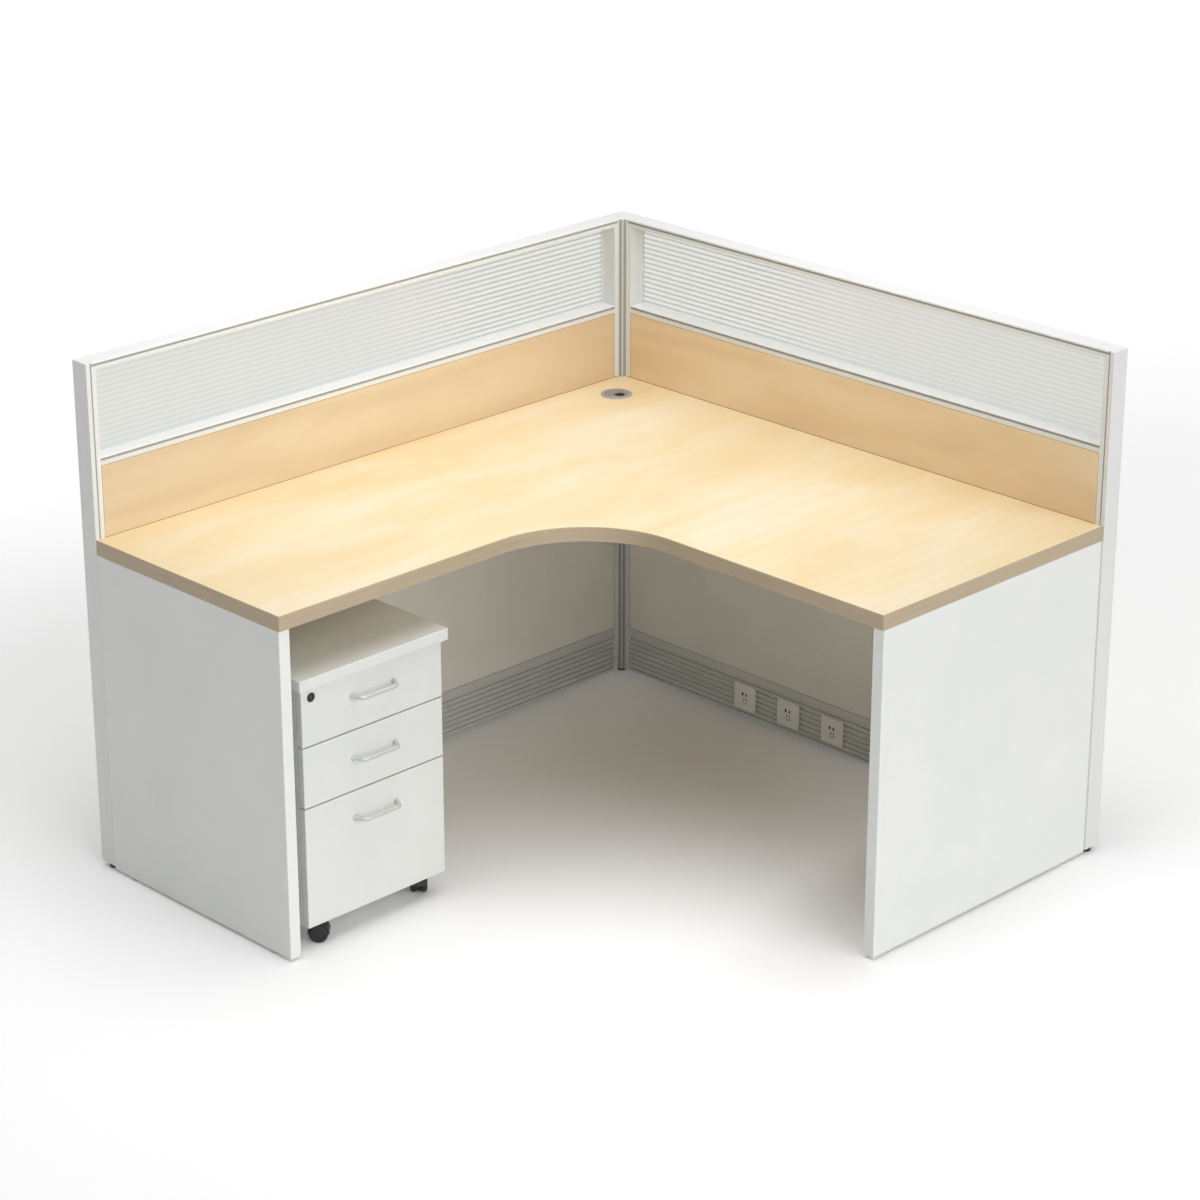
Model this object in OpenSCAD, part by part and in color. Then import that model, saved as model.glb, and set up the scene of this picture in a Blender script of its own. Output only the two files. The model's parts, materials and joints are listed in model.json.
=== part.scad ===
// Corner cubicle workstation: two glazed screens on a corner post, an L-shaped worktop on
// end panels, and a mobile pedestal with three drawers.
// Plan frame: the outer corner of the screens is x = 0, y = 0. x runs along the back screen,
// y runs towards the user and z is the height above the floor. in_plan() places that frame in
// the model's own frame, whose origin is the middle of the base and whose +Y points away from
// the user. A screen is drawn in the same plan frame: x along it, y from its outer to its
// inner face.

/* [Screens] */
// Length of the back screen, from the outer corner to its far end
back_len = 1440; // [1340:10:1700]
// Length of the side screen, from the outer corner to its far end
side_len = 1560; // [1500:10:1800]
// Height of the screens above the floor
screen_h = 1125; // [1060:5:1300]
// Thickness of the screens
screen_t = 45; // [42:1:54]
// Gap between the floor and the screens
screen_lift = 13; // [11:1:20]

/* [Screen frame] */
// Width of the square corner post
post_w = 60; // [56:1:80]
// Width of each groove in the post's chamfer
post_groove_w = 3; // [1:0.5:4]
// Depth of each groove in the post's chamfer
post_groove_deep = 2.5; // [1:0.5:5]
// Distance between the middles of the post's two grooves
post_groove_pitch = 10; // [7:0.5:13]
// Width of the upright stiles
stile_w = 10.5; // [10:0.5:20]
// Width of the trim that closes a screen's far end
end_trim_w = 10; // [5:1:20]
// Width of the shadow groove between stile and end trim
end_groove_w = 3; // [1:0.5:6]
// Depth of that shadow groove
end_groove_deep = 3; // [1:0.5:8]
// Height of the top rail
top_rail_h = 16; // [12:1:30]
// Share of the room between worktop and rails that is glazed; the wooden tiles take the rest
glazed_share = 0.5468; // [0.3:0.0001:0.7]
// Height of the rail under the glass
mid_rail_h = 17; // [12:1:30]
// Height of the thin grooves along the top rail
top_groove_h = 1.5; // [0.5:0.5:2]
// Depth of the grooves along the rails
rail_groove_deep = 2; // [0.5:0.5:3]
// Height of the groove along the rail under the glass
mid_groove_h = 3; // [1:0.5:6]
// Height of the hidden cross rails
cross_rail_h = 36; // [28:1:50]

/* [Glass] */
// Thickness of the glass
glass_t = 5; // [4:0.5:8]
// Distance from a screen's outer face to the glass
glass_setback = 1.5; // [1:0.5:4]
// How far the glass reaches into each rail and stile
glass_bite = 5; // [2:0.5:7]

/* [Tiles and skirting] */
// Thickness of the clip-on tiles
tile_t = 9; // [6:0.5:12]
// Joint around each tile
tile_joint = 1; // [0.5:0.1:2]
// Height of the ribbed skirting
skirting_h = 109; // [95:1:140]
// Thickness of the skirting
skirting_t = 7; // [5:0.5:10]
// Height of the plain band at the top of the skirting
skirting_band_h = 20; // [10:1:30]
// Number of ribs on the skirting
rib_count = 7; // [4:1:12]
// Depth of the grooves between the ribs
rib_deep = 1.5; // [0.5:0.5:3]

/* [Sockets] */
// Number of socket outlets in the back skirting
socket_count = 3; // [1:1:4]
// Width of a socket plate
socket_w = 66; // [60:1:86]
// Height of a socket plate
socket_h = 63; // [50:1:66]
// Thickness of a socket plate
socket_t = 4; // [3:0.5:8]
// From the outer corner to the first socket's near edge
socket_start = 418; // [200:1:600]
// Distance from one socket to the next
socket_pitch = 134.5; // [100:0.5:180]
// Height of the socket plates above the skirting's lower edge
socket_lift = 16; // [5:1:24]

/* [Worktop] */
// Height of the worktop's upper face
desk_h = 750; // [720:5:780]
// Thickness of the worktop
desk_t = 32; // [25:1:40]
// Depth of the back wing, from the screen to its front edge
back_wing_d = 685; // [600:5:750]
// Depth of the side wing, from the screen to its front edge
side_wing_d = 577; // [560:1:640]
// Radius of the curved inner corner
inner_r = 240; // [150:5:300]
// Thickness of the edge band
band_t = 2; // [1:0.5:4]
// How far the back wing stops short of its screen's end
back_end_inset = 4; // [0:1:20]

/* [Cable grommet] */
// Grommet's distance from the side screen's outer face
grommet_x = 135; // [110:1:200]
// Grommet's distance from the back screen's outer face
grommet_y = 154; // [110:1:200]
// Diameter of the grommet's flange
grommet_flange_d = 72; // [68:1:90]
// Thickness of the grommet's flange
grommet_flange_t = 2.5; // [2:0.5:4]
// Diameter of the hole in the worktop
grommet_hole_d = 60; // [56:1:64]
// Diameter of the cable hole in the turning cap
cable_hole_d = 25; // [16:1:26]
// Distance from the cap's middle to its cable hole
cable_hole_offset = 10; // [4:0.5:11]

/* [End panels] */
// Thickness of the end panels
panel_t = 27; // [18:1:36]
// How far the end panels stand behind the worktop's front edge
panel_setback = 2; // [0:1:20]
// Height of the glides under the end panels
glide_h = 7; // [4:1:12]
// Diameter of the glides
glide_d = 22; // [12:1:24]
// Distance from a panel's end to the middle of its glide
glide_inset = 60; // [30:5:120]

/* [Worktop brackets] */
// Length of an angle bracket
cleat_len = 60; // [40:1:90]
// Leg of an angle bracket
cleat_leg = 30; // [25:1:40]
// Thickness of an angle bracket
cleat_t = 2.5; // [2:0.5:4]
// Diameter of the bracket screws
screw_d = 4; // [3:0.5:5]
// Length of the bracket screws in the wood
screw_len = 14; // [8:1:20]

/* [Levelling feet] */
// Diameter of a levelling foot
foot_d = 26; // [20:1:30]
// Height of the round pad of a levelling foot
foot_pad_h = 9; // [5:1:10]
// Diameter of the threaded stem
stem_d = 8; // [6:0.5:8]
// Length of stem inside the post or stile
stem_len = 36; // [25:1:50]

/* [Pedestal] */
// Width of the pedestal
ped_w = 370; // [350:5:400]
// Depth of the pedestal with its drawer fronts
ped_d = 500; // [480:5:540]
// Room between the pedestal and the worktop above it
ped_room = 118; // [80:2:124]
// Gap between the floor and the pedestal's box
ped_lift = 53; // [53:1:60]
// Gap between the pedestal and the end panel
ped_gap = 29; // [20:1:60]
// How far the pedestal stands behind the worktop's front edge
ped_setback = 10; // [0:5:60]
// Thickness of the pedestal's top slab
ped_top_t = 25; // [16:1:28]
// Overhang of the top slab at the front and sides
ped_top_over = 11; // [0:1:15]
// Thickness of the pedestal's boards
board_t = 16; // [15:1:18]
// Thickness of the pedestal's back panel
ped_back_t = 9; // [3:1:12]

/* [Drawers] */
// Thickness of the drawer fronts
front_t = 18; // [16:1:20]
// Gap between the fronts and the edges of the box
front_seat = 1.5; // [0.5:0.5:3]
// Joint between one front and the next
front_joint = 3; // [2:0.5:5]
// Share of the fronts' height that the file drawer takes with its joint
file_share = 0.5057; // [0.47:0.0001:0.53]
// Share of the fronts' height that the middle drawer takes with its joint
middle_share = 0.2529; // [0.24:0.0001:0.27]
// Length of the drawer trays
tray_len = 440; // [400:5:450]
// Wall thickness of the steel trays
tray_wall = 1.5; // [1:0.25:2]
// Room for a runner between the box and a tray
runner_room = 12.7; // [12:0.1:14]
// Height of the runners
runner_h = 35; // [27:1:38]
// Length of the runners
runner_len = 400; // [350:5:410]

/* [Handles] */
// Distance between the feet of a handle
handle_pitch = 112; // [96:1:160]
// How far the handle's bar stands off
handle_reach = 27; // [22:1:35]
// Angle at which each leg leans inwards
handle_lean = 27; // [10:1:40]
// Radius of the bends between legs and bar
handle_bend_r = 11; // [8:1:14]
// Diameter of the handle's rod
handle_d = 9; // [7:0.5:11]
// Height of the handle below the top edge of the top front
top_handle_drop = 48; // [30:1:60]
// Height of the handle below the top edge of the other fronts
handle_drop = 58; // [30:1:70]

/* [Lock] */
// Diameter of the lock's rim
lock_rim_d = 20; // [18:0.5:22]
// Diameter of the lock's barrel
lock_barrel_d = 16; // [14:0.5:16]
// Diameter of the turning plug
lock_plug_d = 11; // [9:0.5:12]
// Distance from the front's left edge to the middle of the lock
lock_inset = 25; // [25:0.5:30]
// Distance from the front's top edge to the middle of the lock
lock_drop = 18; // [17:0.5:22]
// Distance from the lock's axis to the cam's peg, which is also the locking bar's lift
cam_arm = 8; // [6:0.5:9]

/* [Casters] */
// Diameter of the caster wheels
wheel_d = 40; // [36:1:42]
// Width of each wheel of a pair
wheel_w = 13; // [10:0.5:15]
// Width of the web between the two wheels
web_w = 8; // [7:0.5:12]
// Thickness of the hood over the wheels
hood_t = 1.8; // [1:0.2:2.4]
// Distance from the swivel axis to the axle
trail = 14; // [10:1:18]
// Distance from the pedestal's sides and front to a swivel axis
caster_inset = 40; // [40:1:60]
// Diameter of the axle
axle_d = 6; // [5:0.5:8]
// Thickness of the caster's top plate
plate_t = 2.5; // [2:0.5:3]
// Side of the caster's square top plate
plate_w = 42; // [36:1:50]

/* [Hidden] */
$fn = 64;

// Overrun of every cut
over = 1;
// Clearance of pieces that lie against each other without touching
seat_gap = 0.3;
// Radial clearance of a shaft in its bore
fit_gap = 0.05;

// Colours, as the object shows them
aluminium = "#d3d4d1";
maple = "#e6c598";
worktop_maple = "#f5dfae";
edge_tan = "#c9ae86";
pale_board = "#e6e7e3";
tile_grey = "#b9b5ac";
steel = "#c4c6c6";
black = "#1c1c1e";

// Heights of a screen
glazed_h = glazed_share * (screen_h - top_rail_h - mid_rail_h - desk_h);
glazed_top = screen_h - top_rail_h;
sill_z = glazed_top - glazed_h;
mid_rail_z = sill_z - mid_rail_h;
skirting_top = screen_lift + skirting_h;
desk_z = desk_h - desk_t;
tile_split_z = desk_h - desk_t / 2;
desk_rail_z = desk_z - cross_rail_h;

// Widths of a screen
end_w = end_trim_w + end_groove_w;
field_start = post_w + stile_w;
hollow_t = screen_t - 2 * tile_t;
duct_t = screen_t - 2 * skirting_t;
post_chamfer = post_w - screen_t;
top_groove_shares = [0.3, 0.68];

// Sockets: the body behind a plate, as shares of the plate and of the cable duct
socket_body_share = 0.76;
duct_fill_share = 0.6;
slot_deep_share = 2.5;

// Worktop
side_front = screen_t + side_wing_d;
back_front = screen_t + back_wing_d;
back_end = back_len - back_end_inset;
sleeve_wall = 2.5;
sleeve_tail = 4;
sleeve_len = desk_t + sleeve_tail;
cap_t = 2;
cap_ledge = 2;

// Brackets: places along each carrier, as shares of its length
screen_cleat_shares = [0.34, 0.7];
panel_cleat_shares = [0.2, 0.8];
screw_share = 0.6;
screw_head_d = 2 * screw_d;
screw_head_t = screw_d / 2;

// Pedestal, drawn from its own front right lower corner: x is 0 at the drawer fronts and
// negative towards the back, y runs from its right side to its left
ped_front = side_front - ped_setback;
ped_right = side_len - panel_t - ped_gap - ped_w;
box_front = -front_t - front_seat;
ped_top_z = desk_z - ped_room - ped_top_t;
ped_floor_z = ped_lift + board_t;
front_top = ped_top_z - front_joint;
fronts_h = ped_top_z - ped_lift;
middle_front_z = ped_lift + file_share * fronts_h + front_joint / 2;
top_front_z = middle_front_z + middle_share * fronts_h;
tray_y = board_t + runner_room;
tray_w = ped_w - 2 * tray_y;
tray_lift = 12;
file_tray_z = ped_floor_z + tray_lift;
middle_tray_z = middle_front_z + tray_lift;
top_tray_z = top_front_z + tray_lift;

// Runners
runner_t = 1.5;
runner_lift = 6;
runner_deep = 9;
runner_setback = 22;
runner_x = box_front - runner_setback - runner_len;

// Lock: the cam's peg lifts the arm of the locking bar
lock_y = ped_w - lock_inset;
lock_z = front_top - lock_drop;
lock_behind = 4;
cam_t = 3;
cam_w = 6;
cam_tip = 2;
cam_len = cam_arm + cam_tip;
cam_gap = 1.5;
peg_d = 3;
peg_len = 9;
key_slot_w = 1.2;
key_slot_deep = 4;

// Locking bar: the lugs rise in front of a catch on each tray
bar_t = 3;
bar_w = 8;
bar_setback = 8.5;
bar_x = box_front - bar_setback - bar_w;
bar_room = 4;
bar_z = ped_floor_z + bar_room;
arm_h = 5;
arm_z = lock_z - cam_arm + peg_d / 2 + seat_gap;
arm_y = lock_y - cam_arm - cam_w / 2;
lug_h = 5;
lug_lift = runner_lift + runner_h;
lug_gap = 2;
catch_h = 6;
catch_t = 2.5;
catch_reach = 5;
catch_room = 1;
catch_lift = lug_lift + lug_h + catch_room;
catch_gap = 1.5;

// A tray's rim lies this far under its front's top edge, which leaves room for the cam
tray_drop = lock_drop + cam_len + cam_gap;

// Handles: the bar is a hair thicker than the bends it covers
handle_sleeve = 0.15;
handle_screw_d = 4;

// Casters: one heading per swivel, measured in plan from +x, and one place per swivel
rear_caster_x = -ped_d + caster_inset + ped_back_t;
caster_spots = [
    [-caster_inset, ped_w - caster_inset], [-caster_inset, caster_inset],
    [rear_caster_x, ped_w - caster_inset], [rear_caster_x, caster_inset]
];
caster_headings = [-45, 225, 150, 20];
plate_z = ped_lift - plate_t;
wheel_r = wheel_d / 2;
wheel_gap = 0.5;
hood_gap = 0.8;
hood_r = wheel_r + hood_gap + hood_t;
pair_w = web_w + 2 * wheel_w + 2 * wheel_gap;
boss_d = 16;
pivot_d = 8;
hub_d = 26;
hub_deep = 1.5;
tread_r = 3;

// The plan frame placed in the model's frame
module in_plan() {
    translate([-back_len / 2, side_len / 2, 0]) mirror([0, 1, 0]) children();
}

// A screen's frame turned onto the side wall: x and y change places
module on_side() {
    in_plan() rotate([0, 0, 90]) mirror([0, 1, 0]) children();
}

module at_pedestal() {
    in_plan() translate([ped_front, ped_right, 0]) children();
}

// Grooves along a rail's inner face, each with its lower edge at a height in the list
module rail_grooves(len, heights, height) {
    for (z = heights) {
        translate([post_w - over, screen_t - rail_groove_deep, z])
            cube([len, rail_groove_deep + over, height]);
    }
}

// Slot that holds the glass: its width is the glass and a gap on both sides
module glass_slot(x, z, size_x, size_z) {
    translate([x, glass_setback - seat_gap, z])
        cube([size_x, glass_t + 2 * seat_gap, size_z]);
}

module top_rail(len) {
    color(aluminium) difference() {
        translate([post_w, 0, glazed_top])
            cube([len - post_w - end_w, screen_t, top_rail_h]);
        glass_slot(post_w - over, glazed_top - over, len, glass_bite + seat_gap + over);
        rail_grooves(len, [for (s = top_groove_shares) glazed_top + s * top_rail_h], top_groove_h);
    }
}

module mid_rail(len) {
    field = len - end_w - stile_w - field_start;
    color(aluminium) difference() {
        translate([field_start, 0, mid_rail_z]) cube([field, screen_t, mid_rail_h]);
        glass_slot(field_start - over, sill_z - glass_bite - seat_gap, field + 2 * over,
            glass_bite + seat_gap + over);
        rail_grooves(len, [sill_z - 2 * mid_groove_h], mid_groove_h);
    }
}

// One upright of a frame. slot_x is where the glass enters it
module stile(x, slot_x) {
    difference() {
        translate([x, 0, screen_lift]) cube([stile_w, screen_t, glazed_top - screen_lift]);
        glass_slot(slot_x, sill_z - glass_bite, glass_bite + seat_gap + over,
            glazed_h + glass_bite + over);
    }
}

// The two stiles and the three cross rails between them. The upper cross rail backs the joint
// between the tiles and takes the brackets' screws; the far stile takes a levelling foot
module frame(len) {
    far_x = len - end_w - stile_w;
    span = far_x - field_start - 2 * seat_gap;
    color(aluminium) {
        stile(post_w, field_start - glass_bite - seat_gap);
        difference() {
            stile(far_x, far_x - over);
            foot_bore(far_x + stile_w / 2, screen_t / 2);
        }
        translate([field_start + seat_gap, skirting_t, screen_lift])
            cube([span, duct_t, cross_rail_h / 2]);
        translate([field_start + seat_gap, tile_t, skirting_top])
            cube([span, hollow_t, cross_rail_h]);
        translate([field_start + seat_gap, tile_t, desk_rail_z])
            cube([span, hollow_t, tile_split_z + cross_rail_h / 2 - desk_rail_z]);
    }
}

module foot_bore(x, y) {
    translate([x, y, screen_lift - over])
        cylinder(d = stem_d + 2 * fit_gap, h = stem_len + seat_gap + over);
}

module end_trim(len) {
    h = screen_h - screen_lift;
    color(aluminium) {
        translate([len - end_trim_w, 0, screen_lift]) cube([end_trim_w, screen_t, h]);
        translate([len - end_w, end_groove_deep, screen_lift])
            cube([end_groove_w, screen_t - 2 * end_groove_deep, h]);
    }
}

module glass_pane(len) {
    x = field_start - glass_bite;
    color("#dfe8e4", 0.5) translate([x, glass_setback, sill_z - glass_bite])
        cube([len - end_w - stile_w + glass_bite - x, glass_t, glazed_h + 2 * glass_bite]);
}

// A clip-on tile between two heights, on the face whose depth is y
module tile(len, y, low, high, tone) {
    color(tone) translate([field_start + tile_joint, y, low + tile_joint])
        cube([len - end_w - stile_w - field_start - 2 * tile_joint, tile_t,
            high - low - 2 * tile_joint]);
}

module inner_wood_tile(len) tile(len, screen_t - tile_t, tile_split_z, mid_rail_z, maple);
module outer_wood_tile(len) tile(len, 0, tile_split_z, mid_rail_z, maple);
module inner_lower_tile(len) tile(len, screen_t - tile_t, skirting_top, tile_split_z, tile_grey);
module outer_lower_tile(len) tile(len, 0, skirting_top, tile_split_z, tile_grey);

// Ribbed extrusion that closes the cable duct, with its face towards +y
module skirting(len) {
    span = len - end_w - stile_w - field_start;
    pitch = (skirting_h - skirting_band_h) / rib_count;
    difference() {
        translate([field_start, 0, screen_lift]) cube([span, skirting_t, skirting_h]);
        for (i = [0 : rib_count - 1]) {
            translate([field_start - over, skirting_t - rib_deep, screen_lift + (i + 0.5) * pitch])
                cube([span + 2 * over, rib_deep + over, pitch / 2]);
        }
    }
}

// Both skirtings of a screen; cut is a shape taken out of the inner one
module skirtings(len) {
    color(aluminium) {
        difference() {
            translate([0, screen_t - skirting_t, 0]) skirting(len);
            children();
        }
        translate([0, skirting_t, 0]) mirror([0, 1, 0]) skirting(len);
    }
}

// The square post with its inner corner cut off at 45 degrees and two grooves in that face
module corner_post() {
    h = screen_h - screen_lift;
    face = post_w - post_chamfer / 2;
    color(aluminium) in_plan() difference() {
        translate([0, 0, screen_lift]) linear_extrude(h) polygon([
            [0, 0], [post_w, 0], [post_w, screen_t], [screen_t, post_w], [0, post_w]
        ]);
        for (side = [-1, 1]) {
            translate([face, face, screen_lift - over]) rotate([0, 0, 45])
                translate([-post_groove_deep, (side * post_groove_pitch - post_groove_w) / 2, 0])
                cube([post_groove_deep + over, post_groove_w, h + 2 * over]);
        }
        foot_bore(post_w / 2, post_w / 2);
    }
}

// Levelling foot: round pad, neck and threaded stem
module levelling_foot(x, y) {
    color(black) translate([x, y, 0]) {
        cylinder(d = foot_d, h = foot_pad_h);
        translate([0, 0, foot_pad_h]) cylinder(d = foot_d / 2, h = screen_lift - foot_pad_h);
        translate([0, 0, screen_lift]) cylinder(d = stem_d, h = stem_len);
    }
}

module corner_foot() in_plan() levelling_foot(post_w / 2, post_w / 2);
module back_foot() in_plan() levelling_foot(back_len - end_w - stile_w / 2, screen_t / 2);
module side_foot() on_side() levelling_foot(side_len - end_w - stile_w / 2, screen_t / 2);

// Body of a socket behind its plate, grown by a gap where it cuts the skirting
module socket_body(i, grow) {
    body_w = socket_w * socket_body_share;
    body_h = socket_h * socket_body_share;
    body_d = skirting_t + duct_t * duct_fill_share;
    translate([socket_start + i * socket_pitch + (socket_w - body_w) / 2 - grow,
        screen_t - body_d, screen_lift + socket_lift + (socket_h - body_h) / 2 - grow])
        cube([body_w + 2 * grow, body_d + grow, body_h + 2 * grow]);
}

// Contact slots of one outlet, as shares of the plate: x and z of the middle, width, height
slot_shares = [
    [0.36, 0.72, 0.045, 0.13], [0.64, 0.72, 0.045, 0.13],
    [0.5, 0.44, 0.04, 0.12], [0.36, 0.26, 0.12, 0.04], [0.64, 0.26, 0.12, 0.04]
];

module socket(i) {
    slot_deep = socket_t * slot_deep_share;
    difference() {
        union() {
            translate([socket_start + i * socket_pitch, screen_t, screen_lift + socket_lift])
                cube([socket_w, socket_t, socket_h]);
            socket_body(i, 0);
        }
        for (s = slot_shares) {
            translate([socket_start + i * socket_pitch + (s[0] - s[2] / 2) * socket_w,
                screen_t + socket_t - slot_deep,
                screen_lift + socket_lift + (s[1] - s[3] / 2) * socket_h])
                cube([s[2] * socket_w, slot_deep + over, s[3] * socket_h]);
        }
    }
}

module sockets() {
    color("#f0f0ea") in_plan() for (i = [0 : socket_count - 1]) socket(i);
}

module back_skirtings() {
    in_plan() skirtings(back_len) for (i = [0 : socket_count - 1]) socket_body(i, seat_gap);
}

// The L-shaped outline as a slab, drawn in by an inset along its front and end edges and
// made taller by grow at both faces. Its inner corner is a concave arc of inner_r, and its
// back corner meets the post's chamfer
module worktop_slab(inset, grow) {
    h = desk_t + 2 * grow;
    arc_x = side_front + inner_r;
    arc_y = back_front + inner_r;
    corner = post_w + over;
    translate([0, 0, desk_z - grow]) difference() {
        translate([screen_t, screen_t, 0]) union() {
            cube([back_end - inset - screen_t, back_wing_d - inset, h]);
            cube([side_wing_d - inset, side_len - inset - screen_t, h]);
            cube([arc_x - screen_t, arc_y - screen_t, h]);
        }
        translate([arc_x, arc_y, -over]) cylinder(r = inner_r + inset, h = h + 2 * over);
        translate([0, 0, -over]) linear_extrude(h + 2 * over) polygon([
            [screen_t - over, screen_t - over], [corner, screen_t - over],
            [screen_t - over, corner]
        ]);
    }
}

module worktop() {
    color(worktop_maple) in_plan() difference() {
        worktop_slab(band_t, 0);
        translate([grommet_x, grommet_y, desk_z - over])
            cylinder(d = grommet_hole_d, h = desk_t + 2 * over);
    }
}

module worktop_edge_band() {
    color(edge_tan) in_plan() difference() {
        worktop_slab(0, 0);
        worktop_slab(band_t, over);
    }
}

module grommet_sleeve() {
    sleeve_d = grommet_hole_d - 2 * seat_gap;
    bore_d = sleeve_d - 2 * sleeve_wall;
    color("#a8a3a0") in_plan() translate([grommet_x, grommet_y, desk_h]) difference() {
        union() {
            cylinder(d = grommet_flange_d, h = grommet_flange_t);
            translate([0, 0, -sleeve_len]) cylinder(d = sleeve_d, h = sleeve_len);
        }
        translate([0, 0, grommet_flange_t - cap_t]) cylinder(d = bore_d, h = cap_t + over);
        translate([0, 0, -sleeve_len - over])
            cylinder(d = bore_d - 2 * cap_ledge, h = sleeve_len + grommet_flange_t + 2 * over);
    }
}

module grommet_cap() {
    cap_d = grommet_hole_d - 2 * seat_gap - 2 * sleeve_wall - 2 * seat_gap;
    color("#8d8785") in_plan()
        translate([grommet_x, grommet_y, desk_h + grommet_flange_t - cap_t]) difference() {
        cylinder(d = cap_d, h = cap_t);
        translate([cable_hole_offset, 0, -over]) cylinder(d = cable_hole_d, h = cap_t + 2 * over);
    }
}

module side_end_panel() {
    color(pale_board) in_plan() translate([screen_t, side_len - panel_t, glide_h])
        cube([side_wing_d - panel_setback, panel_t, desk_z - glide_h]);
}

module back_end_panel() {
    color(pale_board) in_plan() translate([back_end - panel_t, screen_t, glide_h])
        cube([panel_t, back_wing_d - panel_setback, desk_z - glide_h]);
}

module panel_glides() {
    color("#c9cac6") in_plan() {
        for (x = [screen_t + glide_inset, side_front - panel_setback - glide_inset]) {
            translate([x, side_len - panel_t / 2, 0]) cylinder(d = glide_d, h = glide_h);
        }
        for (y = [screen_t + glide_inset, back_front - panel_setback - glide_inset]) {
            translate([back_end - panel_t / 2, y, 0]) cylinder(d = glide_d, h = glide_h);
        }
    }
}

// Runs its children at every bracket: on both screens and on the inside of both end panels.
// There the carrier's face is y = 0, the bracket lies on the +y side and z = 0 is the worktop
module at_cleats() {
    in_plan() translate([0, 0, desk_z]) {
        for (s = screen_cleat_shares) {
            translate([s * back_len, screen_t, 0]) children();
            translate([screen_t, s * side_len, 0]) rotate([0, 0, -90]) children();
        }
        for (s = panel_cleat_shares) {
            translate([screen_t + s * side_wing_d, side_len - panel_t, 0])
                rotate([0, 0, 180]) children();
            translate([back_end - panel_t, screen_t + s * back_wing_d, 0])
                rotate([0, 0, 90]) children();
        }
    }
}

module worktop_brackets() {
    color(steel) at_cleats() {
        translate([-cleat_len / 2, 0, -cleat_leg]) cube([cleat_len, cleat_t, cleat_leg]);
        translate([-cleat_len / 2, 0, -cleat_t]) cube([cleat_len, cleat_leg, cleat_t]);
    }
}

// A screw that points along +z, with its head under z = 0
module wood_screw() {
    translate([0, 0, -screw_head_t]) cylinder(d = screw_head_d, h = screw_head_t);
    cylinder(d = screw_d, h = cleat_t + screw_len);
}

module bracket_screws() {
    color(steel) at_cleats() for (side = [-1, 1]) {
        translate([side * cleat_len / 4, cleat_leg * screw_share, -cleat_t]) wood_screw();
        translate([side * cleat_len / 4, cleat_t, -cleat_leg * screw_share])
            rotate([90, 0, 0]) wood_screw();
    }
}

module pedestal_top() {
    color(pale_board) at_pedestal() translate([-ped_d, -ped_top_over, ped_top_z])
        cube([ped_d + ped_top_over, ped_w + 2 * ped_top_over, ped_top_t]);
}

// Both side boards; the left one has the groove in which the locking bar slides
module pedestal_sides() {
    color(pale_board) at_pedestal() difference() {
        for (y = [0, ped_w - board_t]) {
            translate([-ped_d, y, ped_lift])
                cube([ped_d + box_front, board_t, ped_top_z - ped_lift]);
        }
        translate([bar_x - seat_gap, ped_w - board_t - over, bar_z - seat_gap])
            cube([bar_w + 2 * seat_gap, bar_t + 2 * seat_gap + over, ped_top_z]);
    }
}

module pedestal_bottom() {
    color(pale_board) at_pedestal() translate([-ped_d, board_t, ped_lift])
        cube([ped_d + box_front, ped_w - 2 * board_t, board_t]);
}

module pedestal_back() {
    color(pale_board) at_pedestal() translate([-ped_d, board_t, ped_floor_z])
        cube([ped_back_t, ped_w - 2 * board_t, ped_top_z - ped_floor_z]);
}

// Runs its children at a tray's right side and, turned over, at its left side
module both_sides() {
    for (side = [0, 1]) translate([0, side * ped_w, 0]) mirror([0, side, 0]) children();
}

// A channel that lies along x, open towards +y
module channel(len, deep, height, wall) {
    difference() {
        cube([len, deep, height]);
        translate([-over, wall, wall]) cube([len + 2 * over, deep, height - 2 * wall]);
    }
}

module drawer_runners() {
    color(steel) at_pedestal() for (z = [file_tray_z, middle_tray_z, top_tray_z]) {
        both_sides() translate([runner_x, board_t, z + runner_lift])
            channel(runner_len, runner_deep, runner_h, runner_t);
    }
}

// The runner's inner half, which rides in the channel and is fixed to the tray
module inner_runner(z) {
    low = board_t + runner_t + 2 * seat_gap;
    deep = tray_y - seat_gap - low;
    translate([runner_x, low + deep, z + runner_lift + runner_t + seat_gap]) mirror([0, 1, 0])
        channel(runner_len, deep, runner_h - 2 * runner_t - 2 * seat_gap, runner_t);
}

// Open tray of five steel sheets, hooked together with a small gap between them, with the two
// inner runners and the catch that the locking bar holds
module tray(z, top, handle_z) {
    x = -front_t - tray_len;
    fold = tray_wall + seat_gap;
    color("#e2e3e1") at_pedestal() {
        translate([x, tray_y, z]) cube([tray_len, tray_w, tray_wall]);
        both_sides() translate([x, tray_y, z + fold]) cube([tray_len, tray_wall, top - z - fold]);
        difference() {
            for (end = [x, -front_t - tray_wall]) {
                translate([end, tray_y + fold, z + fold])
                    cube([tray_wall, tray_w - 2 * fold, top - z - fold]);
            }
            handle_holes(handle_z);
        }
        both_sides() inner_runner(z);
        translate([bar_x - catch_gap - catch_t, ped_w - tray_y + seat_gap, z + catch_lift])
            cube([catch_t, catch_reach, catch_h]);
    }
}

// Clearance holes for a handle's screws, through the front and the tray
module handle_holes(z) {
    for (side = [-1, 1]) {
        translate([-front_t - tray_wall - over, ped_w / 2 + side * handle_pitch / 2, z])
            rotate([0, 90, 0])
            cylinder(d = handle_screw_d + 2 * seat_gap, h = front_t + tray_wall + 2 * over);
    }
}

module drawer_front(low, high, handle_z) {
    color(pale_board) at_pedestal() difference() {
        translate([-front_t, 0, low]) cube([front_t, ped_w, high - low]);
        handle_holes(handle_z);
        children();
    }
}

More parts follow.
